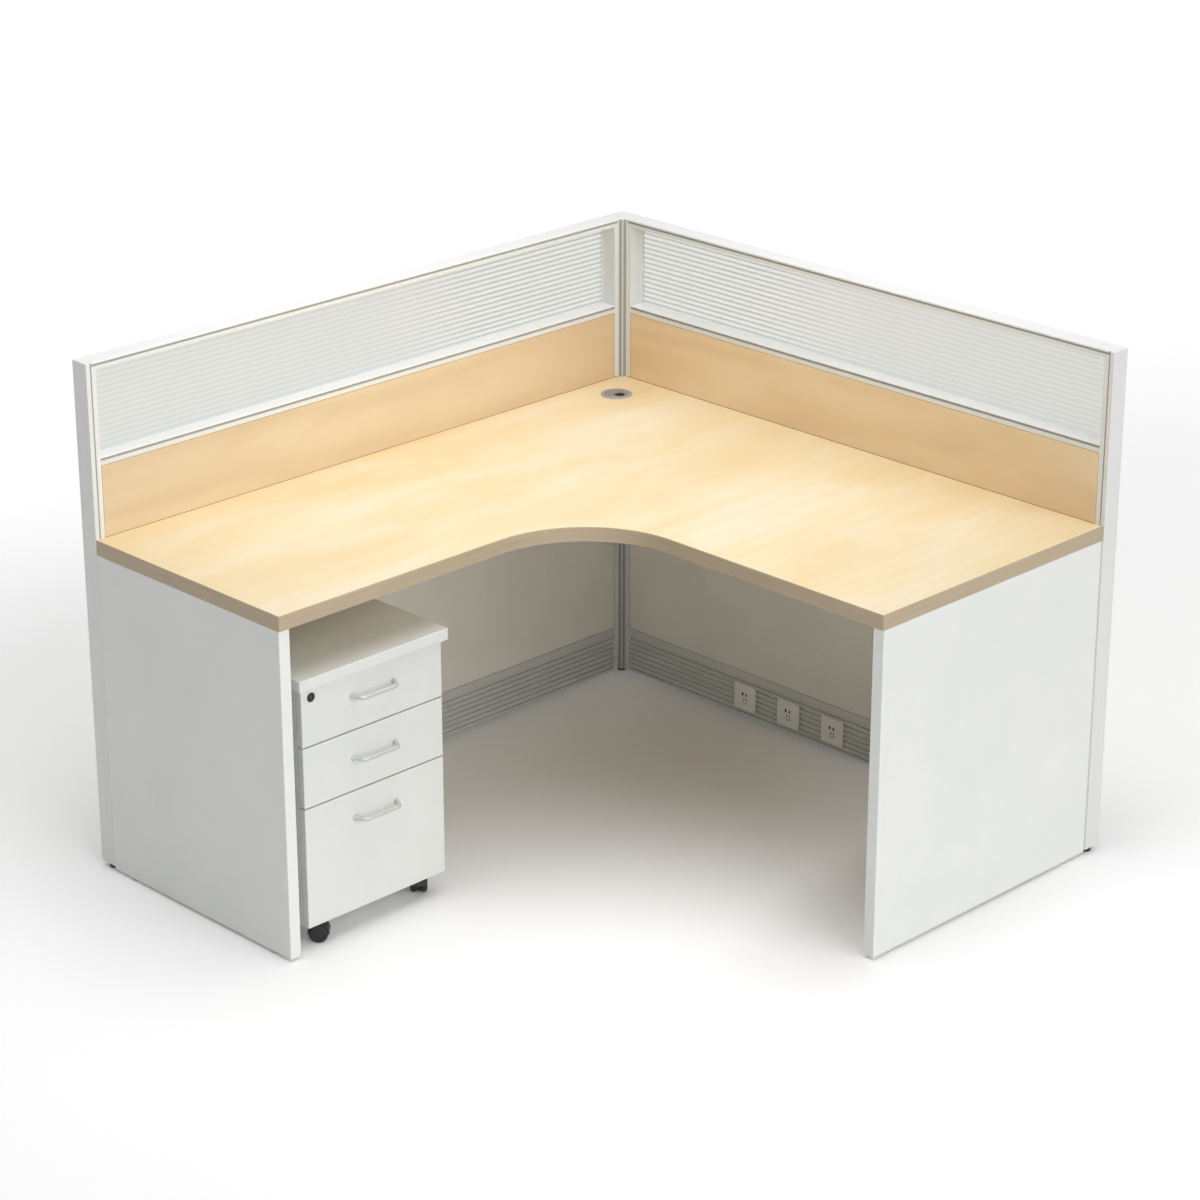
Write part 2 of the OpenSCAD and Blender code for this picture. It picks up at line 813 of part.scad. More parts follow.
// Bow of a handle in its own plane: x away from the front, y along the bar. Each leg leans
// inwards, a bend of handle_bend_r turns it into the bar, and its foot is cut flat at x = 0
module handle_bow() {
    turn = 90 - handle_lean;
    out = handle_reach - handle_d / 2;
    leg = (out - handle_bend_r * (1 - cos(turn))) / cos(handle_lean);
    bar_y = handle_pitch / 2 - leg * sin(handle_lean) - handle_bend_r * sin(turn);
    bar_half = bar_y + 3 * handle_sleeve;
    difference() {
        union() {
            for (side = [0, 1]) mirror([0, side, 0]) {
                translate([out - handle_bend_r, -bar_y, 0]) rotate([0, 0, -turn]) {
                    rotate_extrude(angle = turn) translate([handle_bend_r, 0]) circle(d = handle_d);
                    translate([handle_bend_r, 0, 0]) rotate([90, 0, 0])
                        cylinder(d = handle_d, h = leg + handle_d);
                }
            }
            translate([out, -bar_half, 0]) rotate([-90, 0, 0])
                cylinder(d = handle_d + 2 * handle_sleeve, h = 2 * bar_half);
        }
        translate([-2 * handle_d, -handle_pitch, -handle_d])
            cube([2 * handle_d, 2 * handle_pitch, 2 * handle_d]);
    }
}

// Bow handle with a screw in each foot, its head inside the tray
module handle(z) {
    color("#cfd0ce") at_pedestal() translate([0, ped_w / 2, z]) {
        handle_bow();
        for (side = [-1, 1]) {
            translate([-front_t - tray_wall, side * handle_pitch / 2, 0]) rotate([0, 90, 0]) {
                translate([0, 0, -handle_screw_d / 2])
                    cylinder(d = 2 * handle_screw_d, h = handle_screw_d / 2);
                cylinder(d = handle_screw_d, h = front_t + tray_wall);
            }
        }
    }
}

top_handle_z = front_top - top_handle_drop;
middle_handle_z = top_front_z - front_joint - handle_drop;
file_handle_z = middle_front_z - front_joint - handle_drop;

module top_drawer_front() {
    drawer_front(top_front_z, front_top, top_handle_z) lock_cylinder(lock_barrel_d + 2 * seat_gap);
}

module middle_drawer_front() {
    drawer_front(middle_front_z, top_front_z - front_joint, middle_handle_z);
}

module file_drawer_front() {
    drawer_front(ped_lift, middle_front_z - front_joint, file_handle_z);
}

module top_drawer_tray() tray(top_tray_z, front_top - tray_drop, top_handle_z);

module middle_drawer_tray() {
    tray(middle_tray_z, top_front_z - front_joint - tray_drop, middle_handle_z);
}

module file_drawer_tray() {
    tray(file_tray_z, middle_front_z - front_joint - tray_drop, file_handle_z);
}

// A cylinder on the lock's axis, from behind the front out to past its face
module lock_cylinder(diameter) {
    translate([-front_t - lock_behind - over, lock_y, lock_z]) rotate([0, 90, 0])
        cylinder(d = diameter, h = front_t + lock_behind + 3 * over);
}

module lock_barrel() {
    color(black) at_pedestal() difference() {
        translate([-front_t - lock_behind, lock_y, lock_z]) rotate([0, 90, 0]) {
            cylinder(d = lock_barrel_d, h = front_t + lock_behind);
            translate([0, 0, front_t + lock_behind]) cylinder(d = lock_rim_d, h = runner_t);
        }
        lock_cylinder(lock_plug_d + 2 * fit_gap);
    }
}

// The plug with its key slot, and the cam with its peg on the inner end
module lock_plug() {
    color("#3a3a3c") at_pedestal() translate([-front_t - lock_behind, lock_y, lock_z]) {
        difference() {
            translate([-cam_t, 0, 0]) rotate([0, 90, 0])
                cylinder(d = lock_plug_d, h = cam_t + front_t + lock_behind + runner_t / 2);
            translate([front_t + lock_behind - key_slot_deep, -key_slot_w / 2, -lock_plug_d / 3])
                cube([key_slot_deep + over, key_slot_w, lock_plug_d * 2 / 3]);
        }
        translate([-cam_t, -cam_w / 2, -cam_len]) cube([cam_t - seat_gap, cam_w, cam_len]);
        translate([-cam_t - peg_len, 0, -cam_arm]) rotate([0, 90, 0])
            cylinder(d = peg_d, h = peg_len + cam_t / 2);
    }
}

// Upright bar in the left board's groove. Riveted to it are a lug under each tray's catch and
// the arm that lies on the cam's peg
module locking_bar() {
    board_y = ped_w - board_t;
    lug_y = ped_w - tray_y + lug_gap;
    color(steel) at_pedestal() {
        translate([bar_x, board_y + seat_gap, bar_z]) cube([bar_w, bar_t, arm_z + arm_h - bar_z]);
        translate([bar_x, arm_y, arm_z]) cube([bar_w, board_y - arm_y, arm_h]);
        for (z = [file_tray_z, middle_tray_z, top_tray_z]) {
            translate([bar_x, lug_y, z + lug_lift]) cube([bar_w, board_y - lug_y, lug_h]);
        }
    }
}

// A caster's own frame: the swivel axis is the z axis and x points from it to the axle
module at_caster(i) {
    at_pedestal() translate([caster_spots[i][0], caster_spots[i][1], 0])
        rotate([0, 0, caster_headings[i]]) children();
}

module caster_plates() {
    color(steel) at_pedestal() for (spot = caster_spots) {
        translate([spot[0], spot[1], 0]) {
            translate([-plate_w / 2, -plate_w / 2, plate_z]) cube([plate_w, plate_w, plate_t]);
            translate([0, 0, plate_z - pivot_d]) cylinder(d = pivot_d, h = pivot_d);
        }
    }
}

// A drum about the axle, and its upper half alone
module drum(radius, width) {
    translate([trail, width / 2, wheel_r]) rotate([90, 0, 0]) cylinder(r = radius, h = width);
}

module upper_drum(radius, width) {
    difference() {
        drum(radius, width);
        translate([trail - 2 * radius, -width, -wheel_r])
            cube([4 * radius, 2 * width, 2 * wheel_r]);
    }
}

// Fork of a twin-wheel caster: a hood over both wheels, a web between them that carries the
// axle, and the boss that turns on the plate's pivot
module caster_fork(i) {
    cavity_r = wheel_r + hood_gap;
    boss_z = wheel_r + cavity_r;
    boss_top = plate_z - seat_gap;
    color(black) at_caster(i) difference() {
        union() {
            difference() {
                upper_drum(hood_r, pair_w);
                drum(cavity_r, pair_w + 2 * over);
            }
            upper_drum(hood_r - hood_t / 2, web_w);
            drum(wheel_r - 2 * over, web_w);
            translate([-boss_d / 2, -web_w / 2, wheel_r])
                cube([trail + boss_d / 2, web_w, boss_top - wheel_r]);
            translate([0, 0, boss_z]) cylinder(d = boss_d, h = boss_top - boss_z);
        }
        drum(axle_d / 2 + fit_gap, 2 * web_w);
        translate([0, 0, plate_z - pivot_d - seat_gap])
            cylinder(d = pivot_d + 2 * fit_gap, h = pivot_d + over);
    }
}

// A pair of wheels on one axle: rounded treads and a recessed hub on each outer face
module caster_wheels(i) {
    color("#2a2a2c") at_caster(i) translate([trail, 0, wheel_r]) {
        translate([0, pair_w / 2 - hub_deep, 0]) rotate([90, 0, 0])
            cylinder(d = axle_d, h = pair_w - 2 * hub_deep);
        for (side = [0, 1]) mirror([0, side, 0]) translate([0, web_w / 2 + wheel_gap, 0])
            rotate([-90, 0, 0]) rotate_extrude() polygon([
                [0, 0], [wheel_r - tread_r, 0], [wheel_r, tread_r], [wheel_r, wheel_w - tread_r],
                [wheel_r - tread_r, wheel_w], [hub_d / 2, wheel_w],
                [hub_d / 2, wheel_w - hub_deep], [0, wheel_w - hub_deep]
            ]);
    }
}

corner_post();
in_plan() frame(back_len);  // back_frame
in_plan() top_rail(back_len);  // back_top_rail
in_plan() mid_rail(back_len);  // back_mid_rail
in_plan() end_trim(back_len);  // back_end_trim
in_plan() glass_pane(back_len);  // back_glass
in_plan() inner_wood_tile(back_len);  // back_inner_wood_tile
in_plan() inner_lower_tile(back_len);  // back_inner_lower_tile
in_plan() outer_wood_tile(back_len);  // back_outer_wood_tile
in_plan() outer_lower_tile(back_len);  // back_outer_lower_tile
back_skirtings();
on_side() frame(side_len);  // side_frame
on_side() top_rail(side_len);  // side_top_rail
on_side() mid_rail(side_len);  // side_mid_rail
on_side() end_trim(side_len);  // side_end_trim
on_side() glass_pane(side_len);  // side_glass
on_side() inner_wood_tile(side_len);  // side_inner_wood_tile
on_side() inner_lower_tile(side_len);  // side_inner_lower_tile
on_side() outer_wood_tile(side_len);  // side_outer_wood_tile
on_side() outer_lower_tile(side_len);  // side_outer_lower_tile
on_side() skirtings(side_len);  // side_skirtings
sockets();
corner_foot();
back_foot();
side_foot();
worktop();
worktop_edge_band();
grommet_sleeve();
grommet_cap();
side_end_panel();
back_end_panel();
panel_glides();
worktop_brackets();
bracket_screws();
pedestal_top();
pedestal_sides();
pedestal_back();
pedestal_bottom();
drawer_runners();
caster_plates();
top_drawer_front();
top_drawer_tray();
handle(top_handle_z);  // top_drawer_handle
middle_drawer_front();
middle_drawer_tray();
handle(middle_handle_z);  // middle_drawer_handle
file_drawer_front();
file_drawer_tray();
handle(file_handle_z);  // file_drawer_handle
lock_barrel();
lock_plug();
locking_bar();
caster_fork(0);  // caster_fork_front_left
caster_fork(1);  // caster_fork_front_right
caster_fork(2);  // caster_fork_rear_left
caster_fork(3);  // caster_fork_rear_right
caster_wheels(0);  // caster_wheels_front_left
caster_wheels(1);  // caster_wheels_front_right
caster_wheels(2);  // caster_wheels_rear_left
caster_wheels(3);  // caster_wheels_rear_right
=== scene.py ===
# %% [markdown]
# # A corner cubicle workstation
# This script dresses a workstation whose solids come ready-made: two glazed screens on a
# corner post, an L-shaped worktop on end panels, and a rolling pedestal with three drawers.
# The solids have sharp edges and no finish. Each step below takes one piece or one finish of
# the real object, says what it is, and makes it so that it looks manufactured.

# %% The frame
import bmesh
import bpy
import json
import math
import numpy as np
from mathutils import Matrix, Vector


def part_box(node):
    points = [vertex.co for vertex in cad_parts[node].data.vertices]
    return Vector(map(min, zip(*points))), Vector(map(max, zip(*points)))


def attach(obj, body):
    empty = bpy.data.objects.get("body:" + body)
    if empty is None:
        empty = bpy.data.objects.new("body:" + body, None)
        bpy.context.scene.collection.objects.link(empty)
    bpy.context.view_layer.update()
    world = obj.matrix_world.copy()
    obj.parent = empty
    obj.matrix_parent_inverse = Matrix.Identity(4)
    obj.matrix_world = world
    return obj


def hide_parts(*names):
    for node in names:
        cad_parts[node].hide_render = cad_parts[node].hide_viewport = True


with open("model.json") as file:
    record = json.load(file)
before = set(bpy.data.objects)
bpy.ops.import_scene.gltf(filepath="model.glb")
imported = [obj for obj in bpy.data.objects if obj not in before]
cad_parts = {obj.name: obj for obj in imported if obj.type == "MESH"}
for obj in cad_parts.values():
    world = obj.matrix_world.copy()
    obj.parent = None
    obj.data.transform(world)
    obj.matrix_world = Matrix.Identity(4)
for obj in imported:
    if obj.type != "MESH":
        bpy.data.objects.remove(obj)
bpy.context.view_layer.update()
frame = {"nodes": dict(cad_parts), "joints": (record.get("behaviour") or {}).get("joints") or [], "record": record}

# %% [markdown]
# ## The camera
# A product photographer stands well back with a long lens, so that the worktop isn't
# stretched towards the viewer. The lens, place and angle below were worked out from where the
# corners of the object lie in its picture. An empty to track would aim the camera too, but
# heading and tilt are two plain angles, and those are easy to correct one at a time.

# %% Camera
bpy.context.scene.view_settings.view_transform = "Standard"
eye = (4.658, -4.632, 3.257)
heading, tilt = math.radians(135.21), math.radians(-22.09)
object_middle = (0.0, 0.0, 0.6)
lens = bpy.data.cameras.new("studio_lens")
lens.sensor_width = 36.0
lens.lens = 102.9
camera = bpy.data.objects.new("studio_camera", lens)
camera.location = eye
camera.rotation_euler = (math.pi / 2 + tilt, 0.0, heading - math.pi / 2)
bpy.context.scene.collection.objects.link(camera)
bpy.context.scene.camera = camera
print("camera", round(math.dist(eye, object_middle), 2), "m from the object")

# %% [markdown]
# ## Colours and nodes
# Every colour is written as the hex code that a designer would read off a sample. Blender
# calculates with linear light, so one function converts them. A second small function adds a
# shader node with its settings and its links in one call, which keeps each material short
# enough to read as a recipe.

# %% Helpers for colours and nodes
def linear(code):
    """Hex sRGB to linear: c / 12.92 up to 0.04045, and ((c + 0.055) / 1.055) ** 2.4 above."""
    c = np.array([int(code[i:i + 2], 16) for i in (1, 3, 5)]) / 255
    c = np.where(c <= 0.04045, c / 12.92, ((c + 0.055) / 1.055) ** 2.4)
    return (*c.tolist(), 1.0)


def add(tree, kind, sockets=None, stops=(), **settings):
    """Adds a node. sockets maps an input to a value or to the output that feeds it; stops are
    (place, colour) pairs of a colour ramp; settings are the node's own properties."""
    node = tree.nodes.new("ShaderNode" + kind)
    for name, value in settings.items():
        setattr(node, name, value)
    for name, value in (sockets or {}).items():
        if isinstance(value, bpy.types.NodeSocket):
            tree.links.new(value, node.inputs[name])
        else:
            node.inputs[name].default_value = value
    for k, (place, colour) in enumerate(stops):
        mark = node.color_ramp.elements[k] if k < 2 else node.color_ramp.elements.new(place)
        mark.position, mark.color = place, colour
    return node


def finish(name, sockets):
    """Starts a material: its Principled shader with uniform sockets set, wired to the output."""
    material = bpy.data.materials.new(name)
    material.use_nodes = True
    tree = material.node_tree
    tree.nodes.clear()
    skin = add(tree, "BsdfPrincipled", sockets)
    add(tree, "OutputMaterial", {"Surface": skin.outputs["BSDF"]})
    print("finish", name)
    return material, tree, skin


print("a middle grey, #808080, is", round(linear("#808080")[0], 3), "in linear light")

# %% [markdown]
# ## The studio
# The object stands on a white sweep under four soft lights and a little fill. A broad one hangs
# overhead, and a second stands low at the right: faces that look along +X are bright, and those
# that look along -Y are clearly darker. A round softbox close above the middle brightens the
# worktop, and a large card in front reaches under it. The first two are sun lamps with a wide
# disc, because their light stays even out to the far floor, where a lamp near the object would
# fade. Their strengths were worked out by rendering the object under each light alone and
# fitting the sum to the photographed tones.

# %% Lamps
def hang(name, lamp, place, towards):
    """Puts a lamp into the scene: towards points from the object to the lamp."""
    holder = bpy.data.objects.new(name, lamp)
    towards = np.array(towards) / np.linalg.norm(towards)
    holder.location = place
    holder.rotation_euler = (0.0, math.acos(towards[2]), math.atan2(towards[1], towards[0]))
    bpy.context.scene.collection.objects.link(holder)
    print(name, "stands", round(math.degrees(math.asin(towards[2]))), "degrees above the floor")
    return holder


def broad_sun(name, towards, strength, spread):
    """Even light from a wide disc; its spread is in degrees."""
    lamp = bpy.data.lights.new(name, "SUN")
    lamp.energy, lamp.angle = strength, math.radians(spread)
    hang(name, lamp, (0.0, 0.0, 0.0), towards)


def round_card(name, place, aim, size, watts):
    """A glowing disc near the object, which the camera doesn't see, not even through glass."""
    lamp = bpy.data.lights.new(name, "AREA")
    lamp.shape, lamp.size, lamp.energy = "DISK", size, watts
    holder = hang(name, lamp, place, np.subtract(place, aim))
    holder.visible_camera = holder.visible_transmission = False


broad_sun("softbox_overhead", (0.0, 0.0, 1.0), 1.28, 65)
broad_sun("softbox_right", (1.0, 0.0, 0.3), 1.63, 60)
round_card("softbox_middle", (0.15, -0.15, 1.9), (0.15, -0.15, 0.0), 1.4, 7.7)
round_card("card_front", (3.2, -3.0, 1.2), (0.0, 0.0, 0.4), 2.5, 11.6)

# %% White world
def seen_directly(tree):
    """1 for camera, mirror and glass rays, which are to find the backdrop white, and 0 for the
    rays that carry its light to the object."""
    ray = add(tree, "LightPath")
    seen = ray.outputs["Is Camera Ray"]
    for kind in ("Is Glossy Ray", "Is Transmission Ray"):
        seen = add(tree, "Math", {0: seen, 1: ray.outputs[kind]}, operation="MAXIMUM").outputs[0]
    return seen


world = bpy.data.worlds.new("white_sweep")
world.use_nodes = True
bpy.context.scene.world = world
tree = world.node_tree
tree.nodes.clear()
fill = add(tree, "Background", {"Color": linear("#fbfbfb"), "Strength": 0.12})
white = add(tree, "Background", {"Color": (1.0, 1.0, 1.0, 1.0), "Strength": 1.0})
mix = add(tree, "MixShader", {0: seen_directly(tree), 1: fill.outputs[0], 2: white.outputs[0]})
add(tree, "OutputWorld", {"Surface": mix.outputs[0]})
print("world", world.name, "has", len(tree.nodes), "nodes")

# %% [markdown]
# ## The floor
# The sweep is matt paper, and a painted light on it grows outwards from the shade inside the
# angle of the worktop. A floor that only reflects would stay grey all over, and a brighter lamp
# would wash out the object. So the paper gets a weak glow that only the camera, mirrors and
# glass see: painted light, which leaves the shade under the worktop as deep as it is and turns
# the sweep white around the object. Ellipses on the floor say where this painted light starts
# and where it is full, and so they also draw the outline of the floor's shade.

# %% White paper floor
# How bright the painted light on the floor is where it is full
painted_floor_light = 0.19
floor_half = 45.0
floor_paint, tree, skin = finish("white_sweep_paper", {
    "Base Color": (0.97, 0.97, 0.97, 1.0), "Roughness": 1.0, "Specular IOR Level": 0.0,
    "Emission Color": (1.0, 1.0, 1.0, 1.0)})


def painted_light_outside(middle, shrink, start, end):
    """Painted light on the paper outside an ellipse: 0 up to start, and painted_floor_light from
    end on. Both count from the middle, in metres that shrink scales along x and y."""
    scale = (*shrink, 1.0)
    place = add(tree, "Mapping", {
        "Vector": add(tree, "TexCoord").outputs["Object"], "Scale": scale,
        "Location": (-middle[0] * scale[0], -middle[1] * scale[1], 0.0)})
    away = add(tree, "VectorMath", {0: place.outputs[0]}, operation="LENGTH")
    return add(tree, "MapRange", {"Value": away.outputs["Value"], "From Min": start,
                                  "From Max": end, "To Max": painted_floor_light},
               interpolation_type="SMOOTHSTEP").outputs[0]


in_angle = painted_light_outside((-0.30, 0.15), (1.02, 0.60), 0.12, 1.0)
under_wing = painted_light_outside((0.59, 0.41), (2.58, 1.20), 0.0, 1.0)
far_off = painted_light_outside((-0.35, -0.20), (1.0, 0.45), 0.90, 2.60)
glow = add(tree, "Math", {0: in_angle, 1: under_wing}, operation="MINIMUM")
glow = add(tree, "Math", {0: glow.outputs[0], 1: far_off}, operation="ADD")
glow = add(tree, "Math", {0: glow.outputs[0], 1: seen_directly(tree)}, operation="MULTIPLY")
tree.links.new(glow.outputs[0], skin.inputs["Emission Strength"])
floor_mesh = bpy.data.meshes.new("floor")
floor_mesh.from_pydata([(-floor_half, -floor_half, 0), (floor_half, -floor_half, 0),
                        (floor_half, floor_half, 0), (-floor_half, floor_half, 0)],
                       [], [(0, 1, 2, 3)])
floor = bpy.data.objects.new("floor", floor_mesh)
floor.data.materials.append(floor_paint)
bpy.context.scene.collection.objects.link(floor)
print("floor", 2 * floor_half, "m wide")

# %% [markdown]
# ## Maple laminate
# The worktop and the upper tiles are board with a printed maple film under clear melamine.
# A log's growth rings, cut lengthwise, give long arches and near-parallel lines. That is how
# the pattern is made here: rings round an axis that lies close under the surface and tilts a
# little, stretched along the grain. Two noises break it up, one as wide as a cloud in the
# figure and one as fine as the pores. A scanned print would repeat every few decimetres, and
# a formula doesn't. The film is smooth, so the bump is almost nothing.

# %% Maple
# Blender's wave texture repeats every 0.314 of its own units
wave_repeat = 0.314


def maple(name, tones, turn, heart, ring, cloud, figure):
    """Maple film. turn (degrees) lays the log's axis along the piece, heart is the offset of
    that axis in metres and ring is the spacing of the growth rings in metres. The tone is the
    sum of rings, clouds and pores, each times its weight; figure and cloud set two of these."""
    material, tree, skin = finish(name, {"Roughness": 0.38, "IOR": 1.5})
    place = add(tree, "TexCoord").outputs["Object"]
    log = add(tree, "Mapping", {"Vector": place, "Rotation": tuple(map(math.radians, turn)),
                                "Location": heart})
    long = add(tree, "Mapping", {"Vector": log.outputs[0], "Scale": (0.12, 1.0, 1.0)})
    bend = add(tree, "TexNoise", {"Vector": long.outputs[0], "Scale": 3.2, "Detail": 2.0})
    bent = add(tree, "VectorMath", {0: bend.outputs["Color"], 1: (0.5, 0.5, 0.5)},
               operation="SUBTRACT")
    bent = add(tree, "VectorMath", {0: bent.outputs[0], "Scale": 0.11}, operation="SCALE")
    bent = add(tree, "VectorMath", {0: long.outputs[0], 1: bent.outputs[0]}, operation="ADD")
    rings = add(tree, "TexWave", {"Vector": bent.outputs[0], "Scale": wave_repeat / ring,
                                  "Distortion": 1.6, "Detail": 2.0, "Detail Scale": 1.4},
                wave_type="RINGS", rings_direction="X")
    # Real pores are 0.2 mm wide and wouldn't show. They are drawn 3 mm wide, 110 mm long
    pores = add(tree, "Mapping", {"Vector": log.outputs[0], "Scale": (9.0, 330.0, 330.0)})
    pores = add(tree, "TexNoise", {"Vector": pores.outputs[0], "Scale": 1.0, "Detail": 3.0})
    # Clouds are about 150 mm wide and 400 mm long
    clouds = add(tree, "Mapping", {"Vector": log.outputs[0], "Scale": (2.4, 6.5, 6.5)})
    clouds = add(tree, "TexNoise", {"Vector": clouds.outputs[0], "Scale": 1.0, "Detail": 4.0,
                                    "Roughness": 0.55, "Distortion": 0.4})
    tone, middle, contrast = 0.0, 0.0, 0.28
    for pattern, weight in ((rings, 0.26 * figure), (clouds, 1.5 * cloud), (pores, 0.14)):
        tone = add(tree, "Math", {0: pattern.outputs["Fac"], 1: weight, 2: tone},
                   operation="MULTIPLY_ADD").outputs[0]
        middle += weight / 2
    tone = add(tree, "MapRange", {"Value": tone, "From Min": middle - contrast,
                                  "From Max": middle + contrast})
    colour = add(tree, "ValToRGB", {"Fac": tone.outputs[0]}, stops=[
        (0.0, linear(tones[0])), (1.0, linear(tones[2])), (0.5, linear(tones[1]))])
    tree.links.new(colour.outputs[0], skin.inputs["Base Color"])
    relief = add(tree, "Bump", {"Height": pores.outputs["Fac"], "Strength": 0.05,
                                "Distance": 0.0002})
    tree.links.new(relief.outputs[0], skin.inputs["Normal"])
    return material


worktop_maple = maple("maple_laminate_worktop", ("#f1d6a3", "#f6e1b6", "#f9ecd1"), (0, 0, 90),
                      (0.2, 0.35, 0.16), ring=0.030, cloud=0.75, figure=0.3)
back_tile_maple = maple("maple_laminate_back_tile", ("#e0c39c", "#ead0aa", "#f1dcb9"),
                        (0, 4, 0), (0.0, 0.05, -0.80), ring=0.019, cloud=0.45, figure=0.6)
# The side tiles have the same maple film as the back tiles; this copy is darker: painted shade
side_tile_maple_shaded = maple("maple_laminate_side_tile_shaded", ("#d1b692", "#dac3a0", "#e3d0ae"),
                        (0, 0, 90), (0.1, 0.03, -0.86), ring=0.019, cloud=0.45, figure=0.6)

# %% [markdown]
# ## Edge banding
# The worktop's edge is a strip of tan ABS glued on by a machine. Its print has streaks that
# run along the strip, round every bend. A pattern on the object's coordinates would cut
# across the curve, so this finish reads the strip's own UV map, which is in metres: the first
# number runs along the edge.

# %% Edge band finish
# Printed streaks are 0.5 mm wide and wouldn't show. They are drawn 2.4 mm wide, 140 mm long
streak_rate = (7.0, 420.0, 1.0)
band_abs, tree, skin = finish("abs_edge_band", {"Roughness": 0.45, "IOR": 1.53})
streak = add(tree, "Mapping", {"Vector": add(tree, "UVMap").outputs[0], "Scale": streak_rate})
streak = add(tree, "TexNoise", {"Vector": streak.outputs[0], "Scale": 1.0, "Detail": 4.0})
colour = add(tree, "ValToRGB", {"Fac": streak.outputs["Fac"]},
             stops=[(0.25, linear("#af9c80")), (0.75, linear("#c2b196"))])
tree.links.new(colour.outputs[0], skin.inputs["Base Color"])

# %% [markdown]
# ## Melamine board
# End panels and pedestal are chipboard faced with white melamine paper, pressed against a
# plate with a fine orange-peel grain. It is nearly uniform: a very faint mottle and a soft
# sheen are all that the eye finds. One flat colour would be simpler, but a large white face
# without them looks like cut paper.

# %% Melamine
# Bumps and clouds in a metre. Real orange peel is 0.3 mm wide and wouldn't show, so it is
# drawn 1.1 mm wide. The clouds of the mottle are 170 mm wide
peel_rate, mottle_rate = 900.0, 6.0


def melamine(name, pale, dull, roughness=0.46):
    """Paper-faced board between a pale and a dull tone."""
    material, tree, skin = finish(name, {"Roughness": roughness, "IOR": 1.5})
    place = add(tree, "TexCoord").outputs["Object"]
    mottle = add(tree, "TexNoise", {"Vector": place, "Scale": mottle_rate, "Detail": 6.0,
                                    "Roughness": 0.62})
    colour = add(tree, "ValToRGB", {"Fac": mottle.outputs["Fac"]},
                 stops=[(0.3, linear(dull)), (0.7, linear(pale))])
    tree.links.new(colour.outputs[0], skin.inputs["Base Color"])
    peel = add(tree, "TexNoise", {"Vector": place, "Scale": peel_rate, "Detail": 1.0})
    relief = add(tree, "Bump", {"Height": peel.outputs["Fac"], "Strength": 0.12,
                                "Distance": 0.0001})
    tree.links.new(relief.outputs[0], skin.inputs["Normal"])
    return material


panel_board = melamine("melamine_end_panel", "#eeefec", "#e8eae6")
# The pedestal is the same white melamine as the end panels; its copy is darker: painted shade
pedestal_board = melamine("melamine_pedestal_shaded", "#e4e5e1", "#dddfdb")
# The lower tiles have a warm grey laminate, which is duller than the white board. Their tones
# here are far paler than that grey: painted light in the shade under the worktop
lower_tile = melamine("warm_grey_laminate_tile_lightened", "#f3efe7", "#ebe7df", roughness=0.6)

# %% [markdown]
# ## Anodised aluminium
# Post, rails, trims and skirtings are extrusions. Pushing the metal through its die leaves
# fine lines along the length, and satin anodising spreads every reflection, so the metal
# reads as an even silver grey. An anisotropic shader could draw the lines, but it needs
# tangents; a fine noise that is stretched along the length needs only coordinates. Swept
# pieces have these in their UV map, and the plain solids behind them use the object's own.

# %% Aluminium
# How often the die lines repeat in a metre, along each axis of the UV map or of the object.
# Real lines are 0.1 mm wide and wouldn't show, so they are drawn 1.4 mm and 2 mm wide
die_lines = {"UV": (2.0, 700.0, 1.0), "Object": (500.0, 500.0, 2.0)}


def anodised(name, tones, metallic, source="UV"):
    """Satin extrusion, whose die lines follow the UV map or the object's coordinates."""
    material, tree, skin = finish(name, {"Metallic": metallic, "Roughness": 0.42})
    place = add(tree, "UVMap" if source == "UV" else "TexCoord").outputs[source]
    lines = add(tree, "Mapping", {"Vector": place, "Scale": die_lines[source]})
    lines = add(tree, "TexNoise", {"Vector": lines.outputs[0], "Scale": 1.0, "Detail": 3.0})
    colour = add(tree, "ValToRGB", {"Fac": lines.outputs["Fac"]},
                 stops=[(0.3, linear(tones[0])), (0.7, linear(tones[1]))])
    tree.links.new(colour.outputs[0], skin.inputs["Base Color"])
    relief = add(tree, "Bump", {"Height": lines.outputs["Fac"], "Strength": 0.10,
                                "Distance": 0.0001})
    tree.links.new(relief.outputs[0], skin.inputs["Normal"])
    return material


extrusion = anodised("anodised_aluminium_extrusion", ("#dfe0de", "#e6e7e5"), 0.10)
# The skirtings are the same aluminium as the rails; their copy is darker: painted shade
skirting_extrusion_shaded = anodised("anodised_aluminium_skirting_shaded", ("#d4d5d1", "#dcddd9"), 0.2)
post_extrusion = anodised("anodised_aluminium_post", ("#cfd0cd", "#d7d8d5"), 0.2)
upright = anodised("anodised_aluminium_frame", ("#e0e1df", "#e7e8e6"), 0.10, "Object")

# %% [markdown]
# ## Striped glass
# The panes are clear glass with a frosted film. Its print is a row of horizontal lines that
# repeat every 11.5 mm, about two fifths of it line and the rest bare film, with soft borders.
# Near the corner post the lines are plain to see, and towards the screens' far ends they grow
# faint while the bare film turns greyer: that change along the screen is painted shade, not the
# print. Thin boxes could stand for the lines, but a print has no thickness, so the material
# draws them: height above the floor places them, and the distance along the screen paints the
# shade on them. Film scatters and looks near white, and a line is greyer and a little smoother.

# %% Places on the panes
corner_x = float(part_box("corner_post")[0].x)
corner_y = float(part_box("corner_post")[1].y)
pane_back, pane_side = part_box("back_glass"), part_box("side_glass")
striped_glass, tree, skin = finish("film_striped_glass", {"IOR": 1.5})
place = add(tree, "SeparateXYZ", {0: add(tree, "TexCoord").outputs["Object"]})
east = add(tree, "Math", {0: place.outputs["X"], 1: corner_x}, operation="SUBTRACT")
south = add(tree, "Math", {0: corner_y, 1: place.outputs["Y"]}, operation="SUBTRACT")
along = add(tree, "Math", {0: east.outputs[0], 1: south.outputs[0]}, operation="MAXIMUM")
print("outer corner of the screens at", round(corner_x, 3), round(corner_y, 3))
